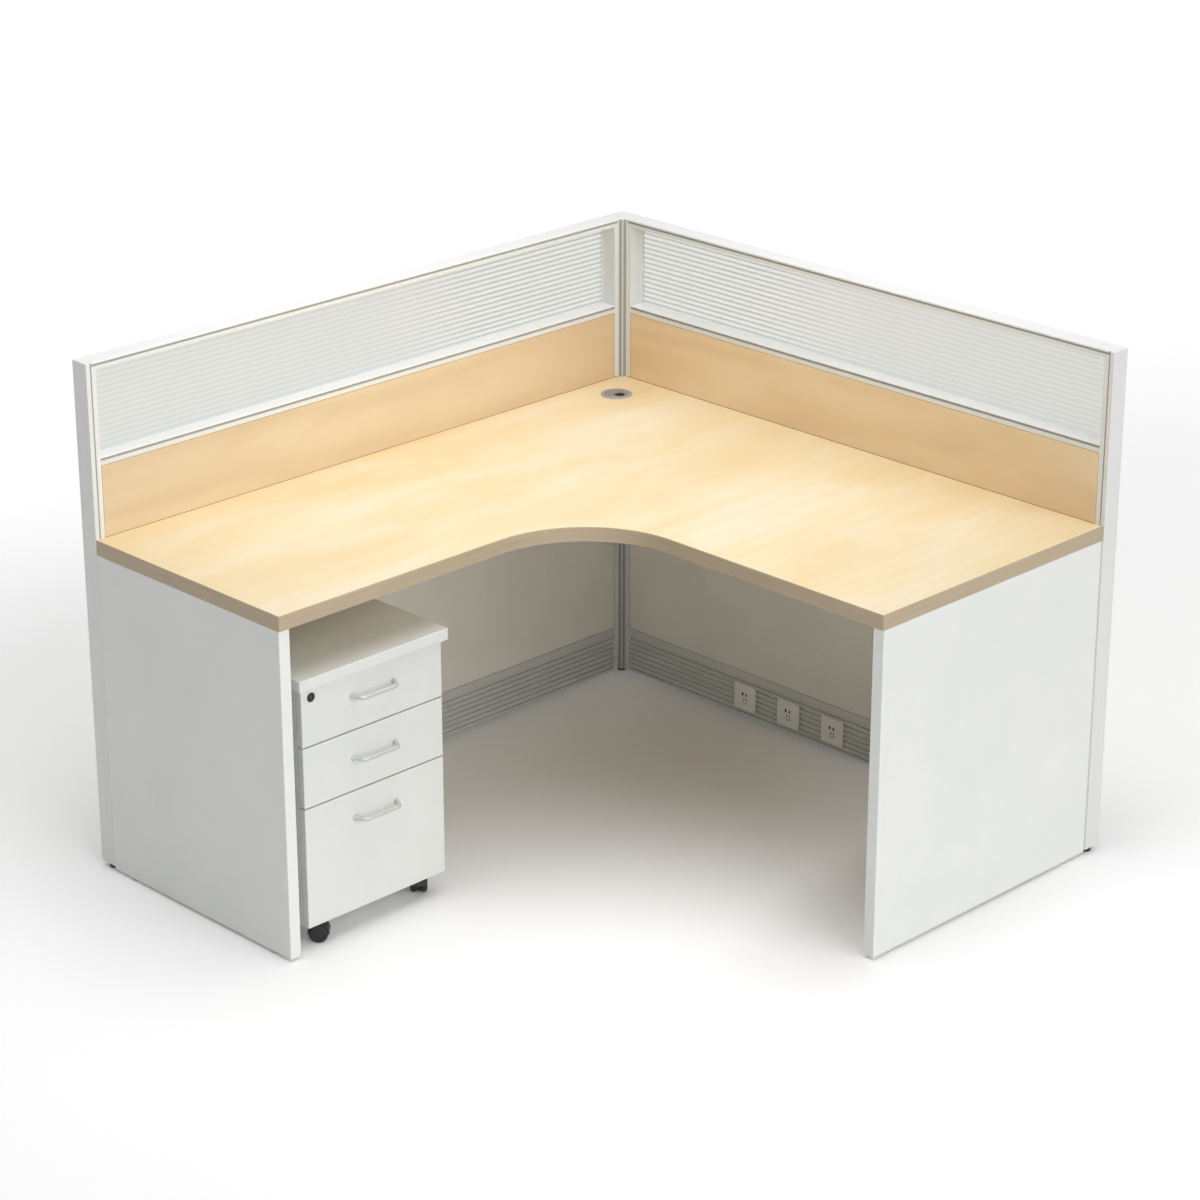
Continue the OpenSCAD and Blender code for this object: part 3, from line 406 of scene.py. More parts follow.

# %% Lines with painted shade along the screen
line_pitch, first_line = 0.0115, 0.0105
# Along the screen the lines grow faint and the film greys: painted shade
fade_start, fade_end, faintest = 0.40, 0.85, 0.36
step = add(tree, "Math", {0: place.outputs["Z"], 1: float(pane_back[0].z) + first_line},
           operation="SUBTRACT")
wave = add(tree, "Math", {0: step.outputs[0], 1: 2 * math.pi / line_pitch},
           operation="MULTIPLY")
wave = add(tree, "Math", {0: wave.outputs[0]}, operation="COSINE")
line = add(tree, "MapRange", {"Value": wave.outputs[0], "From Min": -0.25, "From Max": 0.80},
           interpolation_type="SMOOTHSTEP")
shade_fade = add(tree, "MapRange", {"Value": along.outputs[0], "From Min": fade_start,
                              "From Max": fade_end, "To Min": 1.0, "To Max": faintest},
           interpolation_type="SMOOTHSTEP")
line = add(tree, "Math", {0: line.outputs[0], 1: shade_fade.outputs[0]}, operation="MULTIPLY")
print("lines on each pane:", round(float(pane_back[1].z - pane_back[0].z) / line_pitch))

# %% Ends of the panes
# The frame covers 5 mm of each pane. The next 3 mm have no lines and let little light
# through, so that the dark slot in the frame stays hidden
end_margin = 0.008
limits = ((along, float(pane_back[0].x) - corner_x + end_margin, "GREATER_THAN"),
          (east, float(pane_back[1].x) - corner_x - end_margin, "LESS_THAN"),
          (south, corner_y - float(pane_side[0].y) - end_margin, "LESS_THAN"))
clear_part = 1.0
for value, limit, operation in limits:
    inside = add(tree, "Math", {0: value.outputs[0], 1: limit}, operation=operation)
    clear_part = add(tree, "Math", {0: inside.outputs[0], 1: clear_part},
                     operation="MULTIPLY").outputs[0]
line = add(tree, "Math", {0: line.outputs[0], 1: clear_part}, operation="MULTIPLY")
print("the film starts", round(limits[0][1] * 1000), "mm from the outer corner")

# %% Film and line
# The bare film is paler near the post and greyer towards the far ends: painted shade
bare = add(tree, "ValToRGB", {"Fac": shade_fade.outputs[0]},
           stops=[(faintest, linear("#ebedea")), (1.0, linear("#fafbf8"))])
colour = add(tree, "Mix", {0: line.outputs[0], 6: bare.outputs[0], 7: linear("#c3c8c2")},
             data_type="RGBA")
gloss = add(tree, "MapRange", {"Value": line.outputs[0], "To Min": 0.38, "To Max": 0.30})
through = add(tree, "MapRange", {"Value": clear_part, "To Min": 0.15, "To Max": 0.91})
tree.links.new(colour.outputs[2], skin.inputs["Base Color"])
tree.links.new(gloss.outputs[0], skin.inputs["Roughness"])
tree.links.new(through.outputs[0], skin.inputs["Transmission Weight"])
print(striped_glass.name, "has", len(tree.nodes), "nodes")

# %% [markdown]
# ## Small finishes
# What is left are moulded plastics and sheet metals. Moulded parts take a fine texture from
# the spark-eroded mould, powder coat has a soft orange peel, and zinc plating is cloudy. Each
# could have nodes of its own, but on pieces this small only colour, gloss and grain tell them
# apart. So one recipe serves all: a base colour that a fine noise varies, and the same noise
# as relief.

# %% Plastics and coated metals
def fine_textured(name, tones, roughness, grain, relief=0.15, **sockets):
    """A moulded or coated skin: grain is the number of bumps in a metre. Real grain is 0.1 to
    0.3 mm wide and wouldn't show, so it is drawn 1 to 2 mm wide."""
    material, tree, skin = finish(name, {"Roughness": roughness, **sockets})
    place = add(tree, "TexCoord").outputs["Object"]
    noise = add(tree, "TexNoise", {"Vector": place, "Scale": grain, "Detail": 3.0})
    colour = add(tree, "ValToRGB", {"Fac": noise.outputs["Fac"]},
                 stops=[(0.3, linear(tones[0])), (0.7, linear(tones[1]))])
    tree.links.new(colour.outputs[0], skin.inputs["Base Color"])
    bump = add(tree, "Bump", {"Height": noise.outputs["Fac"], "Strength": relief,
                              "Distance": 0.0001})
    tree.links.new(bump.outputs[0], skin.inputs["Normal"])
    return material


# Powder coat melts into a soft orange peel, so its highlights are wide and pale
tray_coat = fine_textured("powder_coated_tray", ("#dedfdc", "#e6e7e4"), 0.5, 700.0, IOR=1.5)
# Zinc plating is a bright metal with cloudy crystals, here 6 mm wide
zinc = fine_textured("zinc_plated_steel", ("#b4b7b8", "#c6c9ca"), 0.35, 160.0, Metallic=1.0)
# Cast zinc under satin lacquer is half paint and half metal: pale, with a quiet gleam
handle_metal = fine_textured("satin_zinc_handle", ("#bfc0bd", "#cacbc8"), 0.45, 500.0,
                             Metallic=0.35)
# Nylon from an eroded mould is nearly black and gleams dully along its edges
nylon = fine_textured("moulded_black_nylon", ("#0f0f10", "#171718"), 0.42, 900.0, IOR=1.53)
# The wheels are the same nylon, rolled a little duller and lighter
tyre = fine_textured("moulded_black_wheel", ("#131314", "#1c1c1e"), 0.5, 900.0, IOR=1.53)
# ABS from a polished mould is smooth, so it shows small sharp highlights
socket_abs = fine_textured("moulded_socket_abs", ("#f5f4ee", "#fcfbf6"), 0.35, 900.0,
                           relief=0.05, IOR=1.54)
# Inside a slot hardly any light comes back
slot_black = fine_textured("dark_socket_slots", ("#2b2a28", "#3a3936"), 0.6, 900.0, IOR=1.5)
# ABS from an eroded mould is an even mauve grey with a soft gleam, and the cap is darker
grommet_abs = fine_textured("moulded_grommet_abs", ("#a39d9f", "#afa9ab"), 0.4, 1100.0,
                            IOR=1.54)
cap_abs = fine_textured("moulded_cap_abs", ("#8d8788", "#989293"), 0.4, 1100.0, IOR=1.54)
# Turned polyethylene is waxy and dull
glide_pe = fine_textured("turned_glide_polyethylene", ("#bfc0bc", "#cacbc7"), 0.5, 600.0,
                         IOR=1.5)
# Stoved enamel is black and smooth, with one bright highlight along the rim
lock_black = fine_textured("black_enamelled_lock", ("#141415", "#1e1e20"), 0.3, 800.0, IOR=1.5)
# Extruded PVC is white and nearly flat, which makes the screens' bright upper edges. That white
# on the tops of rails, sill, trims and post is a painted highlight
cover_pvc_painted_highlight = fine_textured("extruded_white_pvc_cover_painted_highlight", ("#fafaf8", "#ffffff"), 0.45, 600.0,
                          relief=0.05, IOR=1.53)
# Soft TPE is dull as rubber, so that a groove reads as one even line. Its grey is painted shade:
# in the grooves of rails, trims and post, and in the sockets' earth openings
seal_tpe_painted_shade = fine_textured("grey_tpe_seal_painted_shade", ("#989994", "#a2a39e"), 0.6, 900.0, IOR=1.5)
# Blackened steel is a dark metal, and only its edges catch the light
plug_steel = fine_textured("blackened_lock_plug", ("#29292a", "#38383a"), 0.34, 800.0,
                           Metallic=0.8)

# %% [markdown]
# ## The solids that stay
# Trays, runners, brackets, screws and the frames behind the tiles have the right shape
# already, and made anew they would look the same. So they only take a finish, through the
# material slot that the record gives them.

# %% Finishes by slot
finish_of_slot = {
    "frame_aluminium": upright, "striped_glass": striped_glass, "maple_tile": back_tile_maple,
    "lower_tile": lower_tile, "socket_plastic": socket_abs, "foot_plastic": nylon,
    "worktop_laminate": worktop_maple, "edge_band": band_abs, "grommet_plastic": grommet_abs,
    "panel_board": panel_board, "glide_plastic": glide_pe, "bracket_steel": zinc,
    "pedestal_board": pedestal_board, "runner_steel": zinc, "tray_steel": tray_coat,
    "handle_metal": handle_metal, "lock_body": lock_black, "lock_plug": plug_steel,
    "caster_plastic": nylon, "wheel_plastic": tyre,
}
slot_of = {part["node"]: part["material_slot"] for part in frame["record"]["subparts"]}
for node, solid in frame["nodes"].items():
    solid.data.materials.clear()
    solid.data.materials.append(finish_of_slot[slot_of[node]])
print("finishes in use:", len(set(slot_of.values())))

# %% [markdown]
# ## Surfaces from arrays
# Every new piece is a grid of points: rows run along the piece and columns run round its
# section. Curves and modifiers could make many of these shapes too, but a grid shows its
# formula outright, and its UV map comes with it, in metres. The grid is computed as one
# array, and this helper turns it into faces. Each piece is then merged, its faces turned
# outwards, and shaded smooth with its real edges kept.

# %% Grid to faces
def skin_grid(points, wrap_rows=False):
    """Vertices, quads, UVs and end caps of a grid points[row, column]. Columns always close
    round the section; the UV is (distance along the rows, distance round the first row)."""
    rows, columns = points.shape[:2]
    i, j = np.meshgrid(np.arange(rows if wrap_rows else rows - 1), np.arange(columns),
                       indexing="ij")
    ni, nj = (i + 1) % rows, (j + 1) % columns
    quads = np.stack([i * columns + j, i * columns + nj, ni * columns + nj, ni * columns + j],
                     -1)
    hop = np.linalg.norm(np.roll(points, -1, 0) - points, axis=2).mean(1)
    u = np.concatenate([[0.0], np.cumsum(hop)])
    hop = np.linalg.norm(np.roll(points, -1, 1) - points, axis=2).max(0)
    v = np.concatenate([[0.0], np.cumsum(hop)])
    uv = np.stack([np.stack([u[i], v[j]], -1), np.stack([u[i], v[j + 1]], -1),
                   np.stack([u[i + 1], v[j + 1]], -1), np.stack([u[i + 1], v[j]], -1)], 2)
    last = (rows - 1) * columns
    ends = [] if wrap_rows else [list(range(columns))[::-1], list(range(last, last + columns))]
    return points.reshape(-1, 3), quads.reshape(-1, 4), uv.reshape(-1, 4, 2), ends


print("a grid of 3 by 4 points has", len(skin_grid(np.zeros((3, 4, 3)))[1]), "quads")

# %% Faces to a piece
# Faces that meet at more than this angle keep a sharp edge
sharp_edge = math.radians(32)


def joined(name, skins):
    """One mesh of several skins: each counts its vertices on from the skin before."""
    start = np.cumsum([0] + [len(s[0]) for s in skins[:-1]])
    points = np.concatenate([s[0] for s in skins])
    quads = np.concatenate([s[1] + k for s, k in zip(skins, start)])
    caps = [[k + n for n in cap] for s, k in zip(skins, start) for cap in s[3]]
    uv = [s[2].reshape(-1, 2) for s in skins] + [np.zeros((sum(map(len, caps)), 2))]
    mesh = bpy.data.meshes.new(name)
    mesh.from_pydata(points.tolist(), [], quads.tolist() + caps)
    mesh.uv_layers.new(name="UVMap").data.foreach_set("uv", np.concatenate(uv).ravel())
    return mesh


def piece(name, skins, material, body, replaces=()):
    """Joins skins into one piece that rides on a body and stands for the solids it replaces."""
    mesh = joined(name, skins)
    work = bmesh.new()
    work.from_mesh(mesh)
    bmesh.ops.remove_doubles(work, verts=work.verts, dist=1e-6)
    bmesh.ops.recalc_face_normals(work, faces=work.faces)
    work.to_mesh(mesh)
    work.free()
    mesh.shade_smooth()
    mesh.set_sharp_from_angle(angle=sharp_edge)
    mesh.materials.append(material)
    made = bpy.data.objects.new(name, mesh)
    bpy.context.scene.collection.objects.link(made)
    even = made.modifiers.new("even_shading", "WEIGHTED_NORMAL")
    even.keep_sharp = True
    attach(made, body)
    if replaces:
        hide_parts(*replaces)
    print(f"{name}: {len(mesh.vertices)} vertices, {len(mesh.polygons)} faces")


# %% [markdown]
# ## Boards
# A sawn and edge-banded board has flat faces and edges rounded by about a millimetre. The
# light line along such an edge is most of what tells a real board from a drawn box. A board
# is a rounded rectangle that is drawn at several heights: near the bottom and the top it is
# inset along a quarter circle, which rounds the edges. A Bevel modifier on a box does much the
# same, but here the outline's corners and the edges can have radii of their own.

# %% Board
corner_steps, edge_steps = 4, 3


def rounded_rectangle(half_x, half_y, radius):
    """Points of a rectangle whose corners are quarter circles, anticlockwise from +x: each
    corner's middle is radius inside both sides."""
    turn = np.arange(4)[:, None] + np.linspace(0, 1, corner_steps + 1)[None, :]
    turn = turn * math.pi / 2
    middle = np.array([[1, 1], [-1, 1], [-1, -1], [1, -1]])[:, None, :]
    inner = np.array([half_x - radius, half_y - radius])
    circle = np.stack([np.cos(turn), np.sin(turn)], -1)
    return (middle * inner + radius * circle).reshape(-1, 2)


def board(low, high, flat_axis, edge, corner=None):
    """A board between two corners. Its outline lies across flat_axis. A row inset by
    edge * (1 - cos a) lies at edge * (1 - sin a) from the face."""
    low, high = np.array(low, float), np.array(high, float)
    order = [(flat_axis + 1) % 3, (flat_axis + 2) % 3, flat_axis]
    middle, half = ((low + high) / 2)[order], ((high - low) / 2)[order]
    corner = max(corner or edge, edge)
    a = np.linspace(0, math.pi / 2, edge_steps + 1)
    inset, drop = edge * (1 - np.cos(a)), edge * (1 - np.sin(a))
    rows = []
    for d, z in zip(np.concatenate([inset[::-1], inset]),
                    np.concatenate([drop[::-1] - half[2], half[2] - drop])):
        outline = rounded_rectangle(half[0] - d, half[1] - d, max(corner - d, 1e-7))
        rows.append(np.column_stack([outline + middle[:2],
                                     np.full(len(outline), middle[2] + z)]))
    return skin_grid(np.stack(rows)[:, :, [order.index(axis) for axis in range(3)]])


def board_like(node, material, body, edge, corner=None):
    """A board in place of a plain solid, in the box that the solid fills, with its outline
    across the axis along which it is thinnest."""
    low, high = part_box(node)
    thinnest = int(np.argmin(np.subtract(high, low)))
    piece(node + "_board", [board(low, high, thinnest, edge, corner)], material, body, [node])


print("a board's outline has", len(rounded_rectangle(1, 1, 0.1)), "points")

# %% Tiles, end panels and pedestal boards
pressed_edge, sawn_edge, banded_edge = 0.0008, 0.0006, 0.0016
for side, wood in (("back", back_tile_maple), ("side", side_tile_maple_shaded)):
    for face in ("inner", "outer"):
        board_like(f"{side}_{face}_wood_tile", wood, "root", pressed_edge)
        board_like(f"{side}_{face}_lower_tile", lower_tile, "root", pressed_edge)
board_like("side_end_panel", panel_board, "root", banded_edge)
board_like("back_end_panel", panel_board, "root", banded_edge)
board_like("pedestal_top", pedestal_board, "pedestal", edge=0.002, corner=0.003)
board_like("pedestal_back", pedestal_board, "pedestal", sawn_edge)
board_like("pedestal_bottom", pedestal_board, "pedestal", pressed_edge)
for drawer in ("top", "middle", "file"):
    board_like(f"{drawer}_drawer_front", pedestal_board, f"{drawer}_drawer", banded_edge)

# %% [markdown]
# ## Extrusions
# A rail, trim or post is one outline pushed along a straight line. The outline is drawn as
# its corners, and each corner is then rounded by an arc, because a die can't cut a sharp
# corner and a hand wouldn't want one. A Bevel modifier would round the sawn ends as well, and
# these are crisp. Grooves in the outline take the seals, which read as the thin dark lines
# along the screens.

# %% Rounded outline
def arcs(before, corner, after, radius, steps):
    """Replaces corners by arcs. With unit directions a, b to the neighbours and half the
    angle h between them, the arc's middle is radius / sin h along their bisector, and it
    starts and ends radius / tan h from the corner."""
    a, b = before - corner, after - corner
    size_a, size_b = (np.linalg.norm(side, axis=1, keepdims=True) for side in (a, b))
    a, b = a / size_a, b / size_b
    half = np.arccos(np.clip((a * b).sum(1, keepdims=True), -1, 1)) / 2
    radius = np.broadcast_to(np.reshape(radius, (-1, 1)), half.shape)
    radius = np.minimum(radius, 0.49 * np.minimum(size_a, size_b) * np.tan(half))
    bisector = (a + b) / np.linalg.norm(a + b, axis=1, keepdims=True)
    middle = corner + bisector * radius / np.sin(half)
    start, end = (side / np.tan(half) - bisector / np.sin(half) for side in (a, b))
    sweep = (math.pi - 2 * half)[:, None, :]
    t = np.linspace(0, 1, steps + 1)[None, :, None]
    arc = np.sin((1 - t) * sweep) * start[:, None] + np.sin(t * sweep) * end[:, None]
    return (middle[:, None] + radius[:, None] * arc / np.sin(sweep)).reshape(-1, 2)


def rounded(outline, radius, steps=3):
    """A closed outline with every corner rounded."""
    p = np.array(outline, float)
    return arcs(np.roll(p, 1, 0), p, np.roll(p, -1, 0), radius, steps)


print("a rounded square has", len(rounded([(0, 0), (1, 0), (1, 1), (0, 1)], 0.1)), "points")

# %% Places and bars on a screen
screen_thick = float(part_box("back_top_rail")[1].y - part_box("back_top_rail")[0].y)


def wall(side, along, depth, height):
    """Points of a screen: along is the distance from the outer corner and depth the distance
    from the outer face. On the side screen the two change places."""
    x, y = (along, depth) if side == "back" else (depth, along)
    x, y, height = np.broadcast_arrays(x, y, height)
    return np.stack([corner_x + x, corner_y - y, height], -1)


def span(side, node):
    """Nearest and furthest distance of a solid from the outer corner, along its screen."""
    low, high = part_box(node)
    if side == "back":
        return low.x - corner_x, high.x - corner_x
    return corner_y - high.y, corner_y - low.y


def rail(side, outline, start, end):
    """An outline of (depth, height) pushed from start to end along a screen."""
    outline = np.asarray(outline)
    along = np.array([start, end])[:, None]
    return skin_grid(wall(side, along, outline[None, :, 0], outline[None, :, 1]))


def upright_bar(side, outline, low, high):
    """An outline of (along, depth) pushed upwards."""
    outline = np.asarray(outline)
    level = np.array([low, high])[:, None]
    return skin_grid(wall(side, outline[None, :, 0], outline[None, :, 1], level))


print("the screens are", round(screen_thick * 1000, 1), "mm thick")

# %% [markdown]
# ## Rails
# Each rail has a groove under its upper edge on both faces, with a grey seal pressed into it,
# and these seals are the dark lines that run along the screens: their grey is painted shade in
# the grooves. The rail under the glass ends above in the bright sill in front of the pane. White
# covers 1.2 mm thick clip on from above, on the top rail and on the sill, and their white is a
# painted highlight on these tops. A rail's two faces are alike, so its outline is written for
# the inner face and mirrored for the outer one.

# %% Rails with seals and covers
groove_deep, seal_thick, clear, cover = 0.0040, 0.0018, 0.0001, 0.0012
# Per rail: how far the groove lies under the top, its height, and where its cover starts
rail_details = {"top_rail": (0.0040, 0.0046, 0.0), "mid_rail": (0.0022, 0.0054, 0.0068)}


def notched(low, high, groove_low, groove_high):
    """A rail's outline with a groove in both faces, as (depth, height) corners."""
    bottom = screen_thick - groove_deep
    inner = [(screen_thick, low), (screen_thick, groove_low), (bottom, groove_low),
             (bottom, groove_high), (screen_thick, groove_high), (screen_thick, high)]
    return inner + [(screen_thick - depth, height) for depth, height in inner[::-1]]


def strip(u_low, u_high, v_low, v_high):
    """The outline of a flat strip: a rectangle with slightly rounded corners."""
    return rounded([(u_low, v_low), (u_high, v_low), (u_high, v_high), (u_low, v_high)], 0.0003)


def dress_rails(side):
    """Makes both rails of a screen, and returns the covers and seals that go on them."""
    covers, seals = [], []
    inner_seal = screen_thick - groove_deep + clear
    for part, (drop, tall, cover_start) in rail_details.items():
        node = f"{side}_{part}"
        low, high = (corner.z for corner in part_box(node))
        ends = span(side, node)
        g_low, g_high = high - drop - tall, high - drop
        outline = rounded(notched(low, high - cover, g_low, g_high), 0.0005)
        piece(node + "_extrusion", [rail(side, outline, *ends)], extrusion, "root", [node])
        covers.append(rail(side, strip(cover_start, screen_thick, high - cover, high), *ends))
        for start in (inner_seal, screen_thick - inner_seal - seal_thick):
            seal = strip(start, start + seal_thick, g_low + clear, g_high - clear)
            seals.append(rail(side, seal, *ends))
    return covers, seals


print("seals", round(seal_thick * 1000, 1), "mm thick in grooves", groove_deep * 1000, "mm deep")

# %% [markdown]
# ## End trims
# The end trim clips over the last stile and closes the screen. It is one upright extrusion
# with a narrower neck, a seal in the groove that is left beside the neck, and a white cap. The
# cap's white is a painted highlight on the top, and the seal's grey is painted shade in the
# groove. The cap has the same outline, so it is pushed on from where the metal ends.

# %% End trim
trim_neck, trim_cap, seal_sunk = 0.003, 0.010, 0.0012


def dress_end(side):
    """Makes the end trim of a screen, and returns its white cap and its seal."""
    node = f"{side}_end_trim"
    low, high = (corner.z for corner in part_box(node))
    start, end = span(side, node)
    cap, near, far = end - trim_cap, trim_neck, screen_thick - trim_neck
    outline = rounded([(start, near), (cap, near), (cap, 0), (end, 0), (end, screen_thick),
                       (cap, screen_thick), (cap, far), (start, far)], 0.0008)
    bar = upright_bar(side, outline, low, high - cover)
    piece(node + "_extrusion", [bar], extrusion, "root", [node])
    seal = strip(start + clear, cap - clear, far + clear, screen_thick - seal_sunk)
    return (upright_bar(side, outline, high - cover, high),
            upright_bar(side, seal, low, high - cover - clear))


print("the trim's cap is", round(trim_cap * 1000), "mm wide")

# %% [markdown]
# ## Skirtings
# The skirting hides the cable duct. It is a thin extrusion with a plain band above and seven
# ribs below it. Painted lines would do in a flat view, but seen along the screen only real
# steps in the outline throw the right shadow.

# %% Skirting
skirt_thick, ribs, rib_deep, plain_band = 0.007, 7, 0.0052, 0.020
# Where a valley starts and how tall it is, as shares of the distance between two ribs
valley_start, valley_tall = 0.45, 0.52


def dress_skirting(side):
    """Makes both skirtings of a screen from one (depth, height) outline and its mirror."""
    node = f"{side}_skirtings"
    low, high = (corner.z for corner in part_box(node))
    pitch = (high - low - plain_band) / ribs
    foot = low + (np.arange(ribs)[:, None] + valley_start) * pitch
    head = foot + valley_tall * pitch
    steps_up = np.hstack([foot, foot, head, head]).ravel()
    valley = skirt_thick - rib_deep
    steps_out = np.tile([skirt_thick, valley, valley, skirt_thick], ribs)
    outline = rounded([(skirt_thick, low), *zip(steps_out, steps_up),
                       (skirt_thick, high), (0.0, high), (0.0, low)], 0.0006)
    inner = outline + [screen_thick - skirt_thick, 0.0]
    outer = np.stack([skirt_thick - outline[:, 0], outline[:, 1]], 1)
    ends = span(side, node)
    skins = [rail(side, inner, *ends), rail(side, outer, *ends)]
    piece(f"{side}_skirting_extrusions", skins, skirting_extrusion_shaded, "root", [node])


# %% Both screens
for side in ("back", "side"):
    covers, seals = dress_rails(side)
    cap, seal = dress_end(side)
    # The white covers and the trim's cap are a painted highlight on the screens' tops
    piece(f"{side}_screen_covers_painted_highlight", covers + [cap], cover_pvc_painted_highlight, "root")
    # The grey seals are painted shade in the grooves
    piece(f"{side}_groove_seals_painted_shade", seals + [seal], seal_tpe_painted_shade, "root")
    dress_skirting(side)

# %% [markdown]
# ## The corner post
# Both screens hang on one post. Its inner corner is cut off at 45 degrees, and two grooves
# with grey seals run up that face; the seals' grey is painted shade in the grooves. The grooves
# are drawn as steps across the cut and inwards from it, which is simpler than working out each
# corner along x and y.

# %% Corner post
low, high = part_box("corner_post")
post_wide = float(high.x - low.x)
chamfer = np.array([[post_wide, screen_thick], [screen_thick, post_wide]])
across = (chamfer[1] - chamfer[0]) / np.linalg.norm(chamfer[1] - chamfer[0])
inward = np.array([-1.0, -1.0]) / math.sqrt(2)
# Each groove runs from near to far beside the face's middle; its seal fills all but the front
near, far, deep, seal_front = 0.0016, 0.0080, 0.0030, 0.0014


def on_chamfer(steps):
    """Steps (u, v) on the cut corner: its middle + u * across + v * inward."""
    steps = np.array(steps)
    return chamfer.mean(0) + steps[:, :1] * across + steps[:, 1:] * inward


face = on_chamfer([(-far, 0), (-far, deep), (-near, deep), (-near, 0),
                   (near, 0), (near, deep), (far, deep), (far, 0)])
outline = rounded([(0, 0), (post_wide, 0), chamfer[0], *face, chamfer[1], (0, post_wide)],
                  0.0006)
piece("corner_post_extrusion", [upright_bar("back", outline, low.z, high.z - cover)],
      post_extrusion, "root", ["corner_post"])
# The post's white cap is a painted highlight on its top
piece("corner_post_cap_painted_highlight", [upright_bar("back", outline, high.z - cover, high.z)], cover_pvc_painted_highlight,
      "root")
seals = []
for side in (-1, 1):
    u_low, u_high = side * (near + clear), side * (far - clear)
    v_low, v_high = deep - clear, seal_front
    seal = rounded(on_chamfer([(u_low, v_low), (u_high, v_low), (u_high, v_high),
                               (u_low, v_high)]), 0.0003)
    seals.append(upright_bar("back", seal, low.z, high.z - cover - clear))
# The grey seals are painted shade in the post's grooves
piece("corner_post_seals_painted_shade", seals, seal_tpe_painted_shade, "root")

# %% [markdown]
# ## The worktop's edge band
# The band follows the worktop's front: along the side wing, round the curved inner corner
# and along the back wing, and it covers the outer end too. Cut from a board it would have
# flat streaks. A small section with softened edges is carried along that path instead, and
# the streaks bend with the curve.

# %% Path of the edge band
band_low, band_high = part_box("worktop_edge_band")
overhang, inner_bend, outer_bend = 0.002, 0.240, 0.003
front_x = float(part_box("side_end_panel")[1].x) + overhang
front_y = float(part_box("back_end_panel")[0].y) - overhang
path = np.array([[band_low.x, band_low.y], [front_x, band_low.y], [front_x, front_y],
                 [band_high.x, front_y], [band_high.x, band_high.y]])
turns = [arcs(path[k:k + 1], path[k + 1:k + 2], path[k + 2:k + 3], radius, steps)
         for k, (radius, steps) in enumerate([(outer_bend, 6), (inner_bend, 48),
                                              (outer_bend, 6)])]
path = np.concatenate([path[:1], *turns, path[-1:]])
print("the path has", len(path), "points")

# %% Edge band
tangent = np.gradient(path, axis=0)
tangent[0], tangent[-1] = path[1] - path[0], path[-1] - path[-2]
tangent /= np.linalg.norm(tangent, axis=1, keepdims=True)
outwards = np.stack([tangent[:, 1], -tangent[:, 0]], 1)
band_tall = float(band_high.z - band_low.z)
band_deep, soft, crisp, hair = 0.0023, 0.0012, 1e-5, 0.00005
section = rounded([(0, 0), (0, -band_tall), (-band_deep, hair - band_tall),
                   (-band_deep, -2 * hair)], [soft, soft, crisp, crisp], 4)
plan = path[:, None, :] + section[None, :, :1] * outwards[:, None, :]
level = np.broadcast_to(band_high.z + section[:, 1], plan.shape[:2])
piece("worktop_edge_band_strip", [skin_grid(np.dstack([plan, level]))], band_abs, "root",
      ["worktop_edge_band"])

# %% [markdown]
# ## The joint behind the worktop
# Where the worktop meets the tiles, a fitter closes the joint with a thin bead of brown
# sealant. It is the fine dark line along the foot of the tiles, and its brown is painted shade
# where the joint's shadow lies. A dark stripe on the tile would be flat and have no highlight,
# so the bead is a small triangle with rounded corners, pushed along each screen.

# %% Sealant bead
top_z = float(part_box("worktop")[1].z)
bead_size, bead_sunk = 0.0016, 0.0002
section = rounded([(screen_thick, top_z - bead_sunk),
                   (screen_thick + bead_size, top_z - bead_sunk),
                   (screen_thick, top_z + bead_size)], 0.0002)
beads = [rail(side, section, post_wide, span(side, f"{side}_inner_wood_tile")[1])
         for side in ("back", "side")]
# Tooled silicone has a soft, waxy highlight
sealant_painted_shade = fine_textured("brown_joint_sealant_painted_shade", ("#a4845c", "#b0906a"), 0.55, 900.0, IOR=1.45)
piece("worktop_joint_bead", beads, sealant_painted_shade, "root")

# %% [markdown]
# ## Turned pieces
# Feet, wheels, grommet and lock are round. Each is a profile of (radius, height) turned about
# an axis, which is the quickest way to a clean round shape, and the profile's corners are
# rounded like those of the extrusions. The glides under the panels keep their solids.

# %% Lathe
up = np.array([0.0, 0.0, 1.0])


def turned(profile, origin, axis, radius=0.0006, steps=48):
    """Turns a closed profile of (radius, height) about an axis through origin: the point at
    angle a is origin + height * axis + radius * (cos a * e1 + sin a * e2)."""
    profile = rounded(profile, radius)
    profile[:, 0] = np.maximum(profile[:, 0], 1e-5)
    axis = np.array(axis, float) / np.linalg.norm(axis)
    e1 = np.cross(axis, up if abs(axis[2]) < 0.9 else [1.0, 0.0, 0.0])
    e1 /= np.linalg.norm(e1)
    e2 = np.cross(axis, e1)
    a = np.linspace(0, 2 * math.pi, steps, endpoint=False)[:, None, None]
    spoke = np.cos(a) * e1 + np.sin(a) * e2
    r, h = profile[None, :, :1], profile[None, :, 1:]
    return skin_grid(np.array(origin) + h * axis + r * spoke, wrap_rows=True)


# %% Levelling feet
pad, bevel, nut, stem = 0.013, 0.0015, 0.0065, 0.004
pad_top, nut_top = 0.0118, 0.013
for corner in ("corner", "back", "side"):
    low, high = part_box(f"{corner}_foot")
    x, y = (low.x + high.x) / 2, (low.y + high.y) / 2
    profile = [(0, 0), (pad - bevel, 0), (pad, bevel), (pad, 0.0100), (pad - bevel, pad_top),
               (nut, pad_top), (nut, nut_top), (stem, nut_top), (stem, high.z), (0, high.z)]
    piece(f"{corner}_levelling_foot", [turned(profile, (x, y, low.z), up)], nylon,
          f"{corner}_foot", [f"{corner}_foot"])

